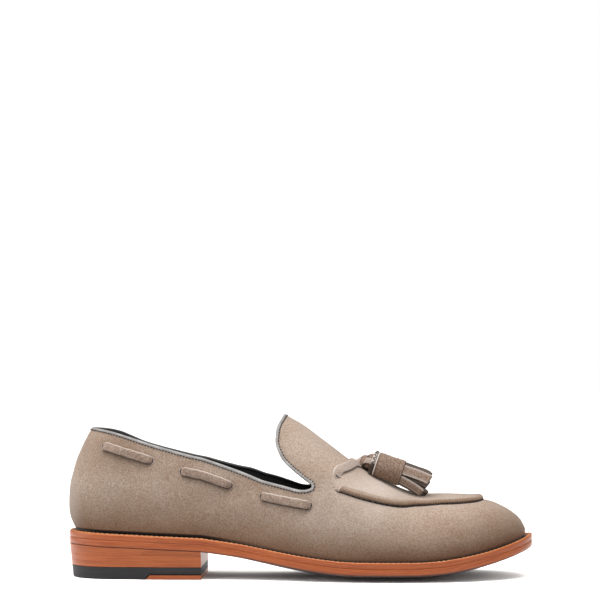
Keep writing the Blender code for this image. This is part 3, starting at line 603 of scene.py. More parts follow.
def paintSoleLeather():
    paint = Paint("soleLeather")
    layer = paint.attribute("layer")
    spot = paint.node("ShaderNodeSeparateXYZ", {}, {"Vector": paint.place})
    spotY = Wire(paint, spot.socket.node.outputs[1])
    laid = paint.node("ShaderNodeCombineXYZ", {}, {0: spot, 1: spotY, 2: layer})
    lines = paint.noise(soleLeather["lines"], 3.0, 0.6, (38, 38, 1), laid)
    bands = paint.noise(soleLeather["bands"], 2.0, 0.5, (26, 26, 1), laid)
    fibre = paint.noise(soleLeather["fibre"], 3.0, 0.65, (3, 3, 1), laid)
    streaks = paint.ramp(lines, ((0.28, 0.0), (0.72, 1.0)))
    base = paint.mix(streaks, soleLeather["mid"], soleLeather["light"])
    base = paint.mix(paint.ramp(bands, ((0.50, 0.0), (0.70, 0.55))), base, soleLeather["red"])
    base = paint.mix(paint.ramp(fibre, ((0.52, 0.0), (0.75, 0.35))), base, soleLeather["red"])
    # Painted highlight toward the top colour, painted shade toward near black
    base = paint.mix(paint.attribute("edge"), base, soleLeather["top"])
    base = paint.mix(paint.attribute("ink"), base, suede["ink"])
    rough = 0.36 + fibre * 0.18
    bumped = paint.bump(lines * 0.7 + fibre * 0.5, soleLeather["bump"], 0.7)
    return paint.finish(Base_Color=base, Roughness=rough, Specular_IOR_Level=soleLeather["gloss"],
                        Coat_Weight=soleLeather["wax"], Coat_Roughness=0.25, Normal=bumped)


rubber = {
    "dark": colour(5, 5, 8),
    "light": colour(21, 21, 26),
    "gloss": 0.35,
    "lines": 0.0007,
    "grain": 0.0005,
    "bump": 0.00006,
}


def paintRubber():
    paint = Paint("heelRubber")
    lines = paint.noise(rubber["lines"], 1.0, 0.5, (60, 60, 1))
    grain = paint.noise(rubber["grain"], 2.0)
    base = paint.mix(lines, rubber["dark"], rubber["light"])
    bumped = paint.bump(lines * 0.5 + grain * 0.5, rubber["bump"], 0.6)
    return paint.finish(Base_Color=base, Roughness=0.5 + grain * 0.2,
                        Specular_IOR_Level=rubber["gloss"], Normal=bumped)


bindingLeather = {
    "dark": colour(140, 136, 133),
    "light": colour(178, 174, 171),
    "ink": colour(24, 23, 25),
    "grains": 1600.0,
    "cloud": 0.006,
    "bump": 0.00008,
}


def paintBinding():
    paint = Paint("bindingLeather")
    grain = paint.node("ShaderNodeTexVoronoi", {}, {"Vector": paint.place,
                                                    "Scale": bindingLeather["grains"]})
    cloud = paint.noise(bindingLeather["cloud"], 2.0)
    patches = paint.ramp(cloud, ((0.3, 0.0), (0.7, 1.0)))
    base = paint.mix(patches, bindingLeather["dark"], bindingLeather["light"])
    # Near black where the bead is painted into shade
    base = paint.mix(paint.attribute("ink"), base, bindingLeather["ink"])
    return paint.finish(Base_Color=base, Roughness=0.34 + grain * 0.12, Coat_Weight=0.1,
                        Normal=paint.bump(grain, bindingLeather["bump"], 0.5))


liningLeather = {
    "dark": colour(16, 16, 18),
    "light": colour(38, 37, 40),
    "grains": 1100.0,
    "cloud": 0.012,
    "bump": 0.00012,
}


def paintLining():
    paint = Paint("liningLeather")
    grain = paint.node("ShaderNodeTexVoronoi", {}, {"Vector": paint.place,
                                                    "Scale": liningLeather["grains"]})
    cloud = paint.noise(liningLeather["cloud"], 3.0)
    base = paint.mix(cloud, liningLeather["dark"], liningLeather["light"])
    return paint.finish(Base_Color=base, Roughness=0.48 + cloud * 0.14,
                        Normal=paint.bump(grain * 0.7 + cloud * 0.6, liningLeather["bump"], 0.5))


threads = {
    "darkThread": (colour(16, 16, 22), colour(44, 42, 50)),
    "weltThread": (colour(190, 132, 88), colour(226, 176, 130)),
}


def paintThread(name):
    paint = Paint(name)
    twist = paint.noise(0.00025, 1.0)
    base = paint.mix(twist, *threads[name])
    return paint.finish(Base_Color=base, Roughness=0.7, Normal=paint.bump(twist, 0.00006, 0.6))


suedeMaterial = paintSuede("suede", suede["dark"], suede["pale"], suede["bump"])
thongMaterial = paintSuede("thongSuede", suede["thongDark"], suede["thongPale"], suede["thongBump"])
soleMaterial = paintSoleLeather()
rubberMaterial = paintRubber()
bindingMaterial = paintBinding()
liningMaterial = paintLining()
darkThread = paintThread("darkThread")
weltThread = paintThread("weltThread")
print("materials painted")


# One piece of the shoe, swung with the last and riding on it
def addPiece(name, vertices, faces, material, replaced=(), attributes=None, sharp=50):
    mesh = bpy.data.meshes.new(name)
    mesh.from_pydata(swing(vertices).tolist(), [], faces)
    for key, values in (attributes or {}).items():
        layer = mesh.attributes.new(key, "FLOAT", "POINT")
        layer.data.foreach_set("value", np.asarray(values, dtype=np.float32))
    shape = bmesh.new()
    shape.from_mesh(mesh)
    bmesh.ops.remove_doubles(shape, verts=shape.verts, dist=1e-6)
    loose = [vertex for vertex in shape.verts if not vertex.link_faces]
    bmesh.ops.delete(shape, geom=loose, context="VERTS")
    bmesh.ops.recalc_face_normals(shape, faces=shape.faces)
    shape.to_mesh(mesh)
    shape.free()
    mesh.materials.append(material)
    mesh.shade_smooth()
    mesh.set_sharp_from_angle(angle=math.radians(sharp))
    piece = bpy.data.objects.new(name, mesh)
    bpy.context.scene.collection.objects.link(piece)
    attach(piece, "root")
    if replaced:
        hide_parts(*replaced)
    return piece


# Faces of a grid of points, given as rows of so many columns
def gridFaces(rows, columns, closeRows=False, closeColumns=True, first=0):
    row = np.arange(rows if closeRows else rows - 1)
    column = np.arange(columns if closeColumns else columns - 1)
    row, column = (part.ravel() for part in np.meshgrid(row, column, indexing="ij"))
    nextRow = (row + 1) % rows * columns
    nextColumn = (column + 1) % columns
    here = row * columns
    corners = (here + column, here + nextColumn, nextRow + nextColumn, nextRow + column)
    return (first + np.stack(corners, axis=1)).tolist()


# Closed body through sections, with a cap at each end
def tubeShape(sections, first=0):
    sections = np.asarray(sections)
    rows, columns, _ = sections.shape
    faces = gridFaces(rows, columns, first=first)
    faces.append(list(range(first, first + columns))[::-1])
    faces.append(list(range(first + (rows - 1) * columns, first + rows * columns)))
    return sections.reshape(-1, 3), faces


# Several shapes as one
def joinShapes(shapes):
    vertices = []
    faces = []
    count = 0
    for points, own in shapes:
        vertices.append(np.asarray(points).reshape(-1, 3))
        faces.extend([[count + index for index in face] for face in own])
        count += len(vertices[-1])
    return np.concatenate(vertices), faces


# Stitches: a small rounded bar at each centre, lying along its direction
def stitchShapes(centres, directions, normals, length, width, height):
    turns = np.radians(np.arange(0, 360, 60))
    profile = ((-0.5, 0.25), (-0.42, 0.7), (-0.25, 1.0), (0.25, 1.0), (0.42, 0.7), (0.5, 0.25))
    along = unit(directions)
    side = unit(np.cross(along, normals))
    up = np.cross(side, along)
    shapes = []
    for spot, a, s, u in zip(centres, along, side, up):
        sections = []
        for place, size in profile:
            sink = -0.35 * height * (2 * place) ** 2
            ring = [spot + a * place * length + s * math.cos(t) * width / 2 * size
                    + u * (math.sin(t) * height / 2 * size + sink) for t in turns]
            sections.append(ring)
        shapes.append(tubeShape(sections))
    return shapes


# Way travelled along a line up to each of its points
def travelAlong(line):
    steps = np.linalg.norm(np.diff(line, axis=0), axis=1)
    return np.concatenate([[0], np.cumsum(steps)])


# Values along a line, at given ways travelled
def readLine(at, travelled, values):
    return np.stack([np.interp(at, travelled, values[:, axis]) for axis in range(3)], axis=1)


# Stitches at even steps along a line, each as long, wide and high as its size says
def addStitches(name, line, pitch, tangents, normals, size, material):
    travelled = travelAlong(line)
    at = np.arange(pitch / 2, travelled[-1], pitch)
    spots, ways, ups = (readLine(at, travelled, values) for values in (line, tangents, normals))
    vertices, faces = joinShapes(stitchShapes(spots, ways, ups, *size))
    addPiece(name, vertices, faces, material)


# Camera at the photograph's place, and a pale stage
camera = {
    "height": 0.143,
    "distance": 1.512,
    "azimuth": math.radians(2.0),
    "aim": (-0.0005, 0.0, 0.179),
    "focalPixels": 2321.0,
    "framePixels": 600.0,
    "sensor": 36.0,
    "near": 0.05,
    "far": 50,
}


def turnTo(item, aim):
    item.rotation_euler = (Vector(aim) - item.location).to_track_quat("-Z", "Y").to_euler()


def makeCamera():
    data = bpy.data.cameras.new("camera")
    data.sensor_width = camera["sensor"]
    data.lens = camera["sensor"] * camera["focalPixels"] / camera["framePixels"]
    data.clip_start = camera["near"]
    data.clip_end = camera["far"]
    item = bpy.data.objects.new("camera", data)
    item.location = (camera["distance"] * math.sin(camera["azimuth"]),
                     -camera["distance"] * math.cos(camera["azimuth"]), camera["height"])
    turnTo(item, camera["aim"])
    bpy.context.scene.collection.objects.link(item)
    bpy.context.scene.camera = item


lightTable = (
    ("name", "place", "aim", "size", "watts"),
    ("key", (0.05, -0.45, 1.35), (0.0, 0.0, 0.03), (1.3, 0.9), 17.0),
    ("side", (-0.9, -1.1, 0.75), (0.0, 0.0, 0.05), (0.6, 0.8), 3.0),
    ("rear", (-1.3, -0.25, 0.35), (-0.15, 0.0, 0.05), (0.5, 0.5), 5.0),
    ("front", (0.9, -1.2, 0.6), (0.0, 0.0, 0.05), (0.7, 0.7), 3.0),
)
stage = {
    "background": 1.0,
    "ambient": 0.42,
    "floorSize": 14.0,
    "floorColour": (0.90, 0.865, 0.845, 1.0),
    "floorRoughness": 0.9,
    "floorGloss": 0.1,
    "floorGlow": 0.015,
    "floorLight": 3.5,
    "floorLightAngle": math.radians(150),
}


def makeLights():
    for light in rowsOf(lightTable):
        data = bpy.data.lights.new(light["name"], "AREA")
        data.shape = "RECTANGLE"
        data.size, data.size_y = light["size"]
        data.energy = light["watts"]
        item = bpy.data.objects.new(light["name"], data)
        item.location = light["place"]
        turnTo(item, light["aim"])
        bpy.context.scene.collection.objects.link(item)


def makeWorld():
    world = bpy.data.worlds.new("studio")
    world.use_nodes = True
    nodes = world.node_tree.nodes
    links = world.node_tree.links
    background = nodes["Background"]
    path = nodes.new("ShaderNodeLightPath")
    level = nodes.new("ShaderNodeMapRange")
    level.inputs["To Min"].default_value = stage["ambient"]
    level.inputs["To Max"].default_value = stage["background"]
    links.new(path.outputs["Is Camera Ray"], level.inputs["Value"])
    links.new(level.outputs[0], background.inputs["Strength"])
    background.inputs["Color"].default_value = (1, 1, 1, 1)
    bpy.context.scene.world = world


def makeFloor():
    half = stage["floorSize"] / 2
    corners = [(-half, -half, 0), (half, -half, 0), (half, half, 0), (-half, half, 0)]
    mesh = bpy.data.meshes.new("floor")
    mesh.from_pydata(corners, [], [(0, 1, 2, 3)])
    floor = bpy.data.objects.new("floor", mesh)
    bpy.context.scene.collection.objects.link(floor)
    paint = bpy.data.materials.new("floorPaint")
    paint.use_nodes = True
    shader = paint.node_tree.nodes["Principled BSDF"]
    shader.inputs["Base Color"].default_value = stage["floorColour"]
    shader.inputs["Roughness"].default_value = stage["floorRoughness"]
    shader.inputs["Specular IOR Level"].default_value = stage["floorGloss"]
    shader.inputs["Emission Color"].default_value = (1, 1, 1, 1)
    shader.inputs["Emission Strength"].default_value = stage["floorGlow"]
    mesh.materials.append(paint)
    floor.visible_diffuse = False

    # A soft sun for the floor alone, so that the shoe's own light stays as it is
    lit = bpy.data.collections.new("floorOnly")
    lit.objects.link(floor)
    data = bpy.data.lights.new("floorLight", "SUN")
    data.energy = stage["floorLight"]
    data.angle = stage["floorLightAngle"]
    sun = bpy.data.objects.new("floorLight", data)
    sun.location = (0.0, 0.0, 2.0)
    sun.light_linking.receiver_collection = lit
    bpy.context.scene.collection.objects.link(sun)


def makeStage():
    bpy.context.scene.view_settings.view_transform = "Standard"
    bpy.context.scene.view_settings.look = "None"
    makeLights()
    makeWorld()
    makeFloor()


# The thong's runs round the collar, and its ends from their slots over the vamp to the tassels
lace = {
    "width": 0.0062,
    "thickness": 0.0019,
    "runs": (
        ("rearAlong", "rearHeight", "frontAlong", "frontHeight"),
        (0.074, 0.627, 0.180, 0.546),
        (0.254, 0.475, 0.350, 0.423),
        (0.425, 0.397, 0.520, 0.407),
    ),
    "endSlotAlong": 0.580,
    "endSlotAcross": 0.455,
    "past": 0.045,
    "places": 60,
    "roundEnd": 0.10,
    "endWidth": 0.42,
    "dive": 0.0026,
    "sag": 0.00012,
    "sagLength": 0.014,
    "clearance": 0.0015,
    "endPlaces": 90,
    "endRuns": (0.08, 0.26, 0.46, 0.66, 0.84),
    "endTuck": 0.0016,
    "endTurn": 0.35,
    "endFacing": (0.20, 0.80, 0.56),
    "narrowing": 0.30,
    "narrowFrom": 0.58,
    "narrowOver": 0.20,
    "tipWidth": 0.60,
    "endLight": 0.22,
    "entryX": 0.0402,
    "entryAside": 0.0066,
    "entryHeight": 0.0742,
    "slotBeyond": 0.0021,
    "endSlotBeyond": 0.0004,
}
knot = {
    "place": 0.0437,
    "length": 0.0085,
    "sections": 72,
    "middle": 0.45,
    "turnLength": 0.0046,
    "ridge": 0.0007,
    "groove": 0.0004,
    "clearance": 0.0004,
}
tassel = {
    "capLength": 0.0190,
    "capBack": 0.0150,
    "capFront": 0.0168,
    "slope": math.radians(18.5),
    "farSlope": math.radians(23.5),
    "spread": 0.0028,
    "fringe": 0.0180,
    "farLift": 0.0030,
    "stripThickness": 0.0014,
    "stripPlaces": 22,
    "rootInside": 0.0022,
    "shoulder": 0.0017,
    "curl": 0.0009,
    "floorGap": 0.0011,
    "twist": 0.25,
    "capWave": 0.00016,
    "capBulge": 0.00022,
    "bandStitches": 30,
    "bandStitchSize": (0.0026, 0.00055, 0.0005),
}

# Strips of a fringe. The turn is in degrees from the outer side upwards, and the length a share
# of the fringe's. Inside is 1 for the inner layer, and dark is how far the strip is in shade.
stripTable = (
    ("turn", "width", "length", "droop", "inside", "dark"),
    (24.0, 0.0068, 1.00, 0.0002, 0.0, 0.0),
    (-31.0, 0.0056, 0.84, 0.0026, 0.0, 0.0),
    (74.0, 0.0050, 0.99, 0.0004, 0.0, 0.75),
    (130.0, 0.0056, 0.97, 0.0002, 0.0, 0.0),
    (180.0, 0.0058, 0.98, 0.0008, 0.0, 0.0),
    (230.0, 0.0054, 0.90, 0.0024, 0.0, 0.0),
    (-82.0, 0.0054, 0.92, 0.0038, 0.0, 0.5),
    (8.0, 0.0048, 0.97, 0.0014, 1.0, 0.3),
    (-52.0, 0.0044, 0.98, 0.0034, 1.0, 0.5),
    (120.0, 0.0048, 0.98, 0.0006, 1.0, 0.3),
)


# Lift that brings points just clear of the vamp
def restOnVamp(points, clearance):
    points = np.asarray(points)
    return float(np.max(topOfUpper(points[:, 0], points[:, 1]) - points[:, 2])) + clearance


# Rear centre and direction of a tassel that lies on the vamp beside the knot
def tasselLine(side):
    lean = tassel["slope"] if side < 0 else tassel["farSlope"]
    direction = unit(np.array([math.cos(lean), side * 0.03, -math.sin(lean)]))
    aside = side * (tassel["capFront"] / 2 + tassel["spread"])
    start = np.array([knot["place"] + knot["length"] / 2, aside, 0.0])
    up = np.array([math.sin(lean), 0.0, math.cos(lean)])
    lowest = []
    for share in np.linspace(0, 1, 7):
        radius = (tassel["capBack"] + (tassel["capFront"] - tassel["capBack"]) * share) / 2
        for turn in np.radians((-40, -20, 0, 20, 40)):
            out = np.array([0.0, math.sin(turn) * radius, 0.0])
            centre = start + direction * tassel["capLength"] * share
            lowest.append(centre - up * radius * math.cos(turn) + out)
    start[2] = restOnVamp(lowest, 0.4 * last["gap"])
    return start, direction


# Rounded section of a flat thong: its points, and how near each is to its raw edges
def thongSection(centre, along, normal, width, thickness):
    side = unit(np.cross(along, normal))
    up = np.cross(side, unit(along))
    turns = np.radians(np.arange(0, 360, 22.5))
    out = np.sign(np.cos(turns)) * np.abs(np.cos(turns)) ** 0.45
    rise = np.sign(np.sin(turns)) * np.abs(np.sin(turns)) ** 0.75
    points = centre + np.outer(out * width / 2, side) + np.outer(rise * thickness / 2, up)
    edges = np.clip((np.abs(out) - 0.80) / 0.2, 0, 1)
    return points, edges


# A smooth line through a few points
def smoothLine(points, count):
    points = np.asarray(points, dtype=float)
    steps = np.linalg.norm(np.diff(points, axis=0), axis=1)
    knots = np.concatenate([[0], np.cumsum(np.sqrt(steps))])
    tangents = np.gradient(points, knots, axis=0)
    at = np.linspace(0, knots[-1], count)
    cell = np.clip(np.searchsorted(knots, at, side="right") - 1, 0, len(knots) - 2)
    span = (knots[cell + 1] - knots[cell])[:, None]
    t = (at - knots[cell])[:, None] / span
    start = (1 + 2 * t) * (1 - t) ** 2 * points[cell] + t * (1 - t) ** 2 * span * tangents[cell]
    end = t * t * (3 - 2 * t) * points[cell + 1] - t * t * (1 - t) * span * tangents[cell + 1]
    return start + end


# A flat thong along its centres, its raw edges pale, with a painted highlight along the upper edge and
# painted shade under the lower one
def addThong(name, centres, normals, widths, replaced, light=0.0):
    steps = np.gradient(centres, axis=0)
    sections = []
    edges = []
    inksAndShades = []
    for centre, along, normal, width in zip(centres, steps, normals, widths):
        points, edge = thongSection(centre, along, normal, width, lace["thickness"])
        high = points[:, 2] - centre[2]
        high = high / np.max(np.abs(high))
        sections.append(points)
        # Raw edges are paler the higher they stand, a painted highlight; near black under the lower
        # edge is painted shade
        edges.append(np.clip(light + edge * np.clip(0.30 + high, 0.0, 0.95), 0, 1))
        inksAndShades.append(0.8 * np.clip((-high - 0.60) / 0.25, 0, 1))
    vertices, faces = tubeShape(sections)
    return addPiece(name, vertices, faces, thongMaterial, replaced,
                    {"edge": np.concatenate(edges), "ink": np.concatenate(inksAndShades)}, sharp=60)


def laceEntry(side):
    return np.array([lace["entryX"], side * lace["entryAside"], lace["entryHeight"]])


# One end of the lace, straight in the side view from its slot to the knot, then into its cap
def makeLaceEnd(word, side):
    slotX = float(xOf(lace["endSlotAlong"]))
    slot, slotNormal = surfaceFrame(side, slotX, lace["endSlotAcross"])
    slot = slot + slotNormal * apronRise(slotX)
    start, direction = tasselLine(side)
    entry = laceEntry(side)
    run = entry - slot
    points = [slot - slotNormal * lace["endTuck"] - unit(run) * 0.0006]
    for share in lace["endRuns"]:
        x = slot[0] + run[0] * share
        z = slot[2] + run[2] * share
        lifted = slotNormal[2] + (1 - slotNormal[2]) * share
        across = float(acrossOfHeight(x, z - apronRise(x) * lifted))
        y = side * max(abs(float(upperPoint(side, x, across)[1])), abs(entry[1]))
        ground = float(topOfUpper(x, y)) + lace["clearance"] / topNormal(x, y)[2]
        points.append(np.array([x, y, max(z, ground)]))
    points.append(entry)
    points.append((entry + start) / 2 + np.array([0.0, side * 0.0006, 0.0012]))
    points.append(start + direction * 0.0010)
    points.append(start + direction * tassel["capLength"] * 0.50)
    line = smoothLine(points, lace["endPlaces"])
    travelled = np.linspace(0, 1, len(line))[:, None]
    lying = topNormal(line[:, 0], line[:, 1])
    faced = np.array(lace["endFacing"]) * np.array([1, side, 1])
    normals = unit(lying + (faced - lying) * softStep(travelled / lace["endTurn"]))
    narrow = softStep((travelled[:, 0] - lace["narrowFrom"]) / lace["narrowOver"])
    rounded = lace["tipWidth"] + (1 - lace["tipWidth"]) * softStep(travelled[:, 0] / 0.05)
    widths = lace["width"] * (1.04 - lace["narrowing"] * narrow) * rounded
    piece = addThong(f"laceEnd{word}", line, normals, widths, (f"lace_end_{word.lower()}",),
                     lace["endLight"])
    return piece, swing(line), swing(slot)


print("helpers ready")
makeCamera()
makeStage()


# Upper: an outer shell of suede and a lining inside it, both closed round their own walls
upper = {
    "suedeWall": 0.0012,
    "liningWall": 0.0007,
    "apronColumns": 290,
    "quarterColumns": 150,
    "apronShare": 0.42,
    "upperRows": 26,
    "lowerRows": 34,
    "fadeStart": 0.0222,
    "fadeEnd": 0.0252,
    "fadeBreadth": 0.016,
    # The next five set a near-black band at the upper's foot: painted shade in the gap above the welt,
    # partly dark dye
    "darkGapAtHeel": 0.0014,
    "darkGapAtBall": 0.0012,
    "darkGapFrom": -0.06,
    "darkGapOver": 0.09,
    "darkGapSoft": 0.0005,
    # The next four paint brown shade low on the upper, at the flap's root and round the slots
    "wornHeight": 0.034,
    "shadeLow": 0.80,
    "shadeRoot": 0.45,
    "shadeSlot": 0.18,
    "unevenness": 0.00022,
    "waveLong": 0.052,
    "waveShort": 0.021,
    "innerEvery": 4,
    "liningEvery": 3,
    "liningGap": 0.00005,
    "slotDimple": 0.0005,
    "dimpleReach": 0.0042,
    "fullness": 0.0008,
    "fullPlace": 0.072,
    "fullReach": 0.015,
    "flapRoot": (-0.003, 0.046),
    "flapRootReach": 0.012,
    "rimReach": 0.006,
    "rimWall": 0.0020,
}

# Soft creases of wear, as troughs with a ridge below: middle in the side view, angle in degrees
# from the toe upwards, half-length, half-width and depth
creaseTable = (
    ("x", "z", "angle", "length", "width", "depth"),
    (0.006, 0.048, 64.0, 0.014, 0.0032, 0.00034),
    (0.019, 0.041, 72.0, 0.013, 0.0036, 0.00028),
    (-0.050, 0.053, 14.0, 0.026, 0.0050, 0.00030),
    (-0.084, 0.041, 8.0, 0.022, 0.0060, 0.00024),
    (-0.120, 0.068, -38.0, 0.013, 0.0042, 0.00026),
    (-0.022, 0.034, 22.0, 0.020, 0.0046, 0.00022),
    (0.062, 0.031, 12.0, 0.024, 0.0048, 0.00022),
    (0.012, 0.092, -52.0, 0.014, 0.0042, 0.00022),
)


def creaseLift(x, z):
    lift = np.zeros_like(x)
    for crease in rowsOf(creaseTable):
        turn = math.radians(crease["angle"])
        ahead = (x - crease["x"]) * math.cos(turn) + (z - crease["z"]) * math.sin(turn)
        above = (z - crease["z"]) * math.cos(turn) - (x - crease["x"]) * math.sin(turn)
        trough = np.exp(-(above / crease["width"]) ** 2)
        ridge = np.exp(-(above / crease["width"] + 2.0) ** 2)
        reach = np.exp(-(ahead / crease["length"]) ** 2)
        lift = lift - crease["depth"] * reach * (trough - 0.6 * ridge)
    return lift


# Places where light and shade are painted into the suede, lighter where the tone is above 0 and darker
# below, on both sides of the shoe
lightShadeTable = (
    ("x", "z", "reachX", "reachZ", "tone"),
    (-0.122, 0.084, 0.024, 0.016, -0.40),
    (-0.148, 0.040, 0.006, 0.030, 0.25),
    (0.052, 0.058, 0.030, 0.010, 0.42),
    (0.005, 0.084, 0.020, 0.014, 0.12),
    (0.030, 0.040, 0.035, 0.012, 0.12),
    (0.095, 0.052, 0.030, 0.008, 0.10),
    (0.126, 0.036, 0.014, 0.012, -0.14),
    (-0.020, 0.062, 0.018, 0.010, -0.10),
)


def paintedLightAndShade(x, z):
    tone = np.zeros_like(x)
    for spot in rowsOf(lightShadeTable):
        apart = ((x - spot["x"]) / spot["reachX"]) ** 2 + ((z - spot["z"]) / spot["reachZ"]) ** 2
        tone = tone + spot["tone"] * np.exp(-apart)
    return tone


# Shares round one side, finer along the apron than along the quarter
def roundShares(fine, coarse):
    fore = np.linspace(0, upper["apronShare"], fine + 1)
    return np.concatenate([fore, np.linspace(upper["apronShare"], 1, coarse + 1)[1:]])


def wholeLoop(sample, shares):
    return np.concatenate([sample(-1, shares), sample(1, shares)[1:-1][::-1]])


# Outward normals of loops stacked from the rim down
def gridNormals(rows):
    along = np.roll(rows, -1, axis=1) - np.roll(rows, 1, axis=1)
    normals = unit(np.cross(along, np.gradient(rows, axis=0)))
    if np.mean(np.sum(normals * (rows - rows.mean(axis=(0, 1))), axis=2)) < 0:
        normals = -normals
    return normals


# Distance of each point of the rows from the nearest point of a line
def farFromLine(rows, line):
    tree = kdtree.KDTree(len(line))
    for index, point in enumerate(line):
        tree.insert(point, index)
    tree.balance()
    far = [tree.find(point)[2] for point in rows.reshape(-1, 3)]
    return np.array(far).reshape(rows.shape[:2])


# Plan of a loop, moved inwards
def planOffset(loop, inset):
    tangent = np.roll(loop, -1, axis=0) - np.roll(loop, 1, axis=0)
    inward = unit(np.stack([tangent[:, 1], -tangent[:, 0]], axis=1))
    if np.sum(inward * (loop[:, :2].mean(axis=0) - loop[:, :2])) < 0:
        inward = -inward
    return loop[:, :2] + inward * inset


def onLevel(plan, rise):
    return np.column_stack([plan, soleLevel(plan[:, 0], plan[:, 1], rise)])


# Where the lace passes through the upper: side, x, share of the section, end of the run
def laceSlots():
    slots = []
    for side in (-1, 1):
        for run in rowsOf(lace["runs"]):
            for end in ("rear", "front"):
                x = float(xOf(run[end + "Along"]))
                height = run[end + "Height"] * last["upperHeight"]
                slots.append((side, x, float(acrossOfHeight(x, underside(x) + bed + height)), end))
    return slots


# Rows close above the seam: their distance from it and the most of the way up that it may be,
# and how far each stands on the apron's step
stepTable = (
    ("distance", "most", "part"),
    (0.0012, 0.75, 1.0),
    (0.0007, 0.5, 0.92),
    (0.00024, 0.25, 0.65),
)


# Rows of points from the rim down to the feather, and how far each stands on the apron's step
def upperRows(shares):
    rows = []
    step = []
    near = np.array([0.0, 0.012, 0.03])
    ups = np.concatenate([1 - near, np.linspace(0.94, 1 / upper["upperRows"], upper["upperRows"])])
    for up in ups:
        rows.append(wholeLoop(lambda side, s, up=up: upperBand(side, s, np.full_like(s, up)), shares))
        step.append(1.0)
    seam = wholeLoop(lambda side, s: upperBand(side, s, np.zeros_like(s)), shares)
    reach = np.linalg.norm(rows[-1] - seam, axis=1)
    above = rows[-1]
    for row in rowsOf(stepTable):
        toward = np.minimum(row["distance"] / reach, row["most"])[:, None]
        rows.append(seam + (above - seam) * toward)
        step.append(row["part"])
    downs = np.linspace(0, 1, upper["lowerRows"] + 1)
    downs = np.concatenate([downs[:-1], [0.978, 0.985, 0.993, 1.0]])
    for down in downs:
        rows.append(wholeLoop(lambda side, s, down=down: lowerBand(side, s, np.full_like(s, down)),
                              shares))
        step.append(0.0)
    return np.array(rows), np.array(step)


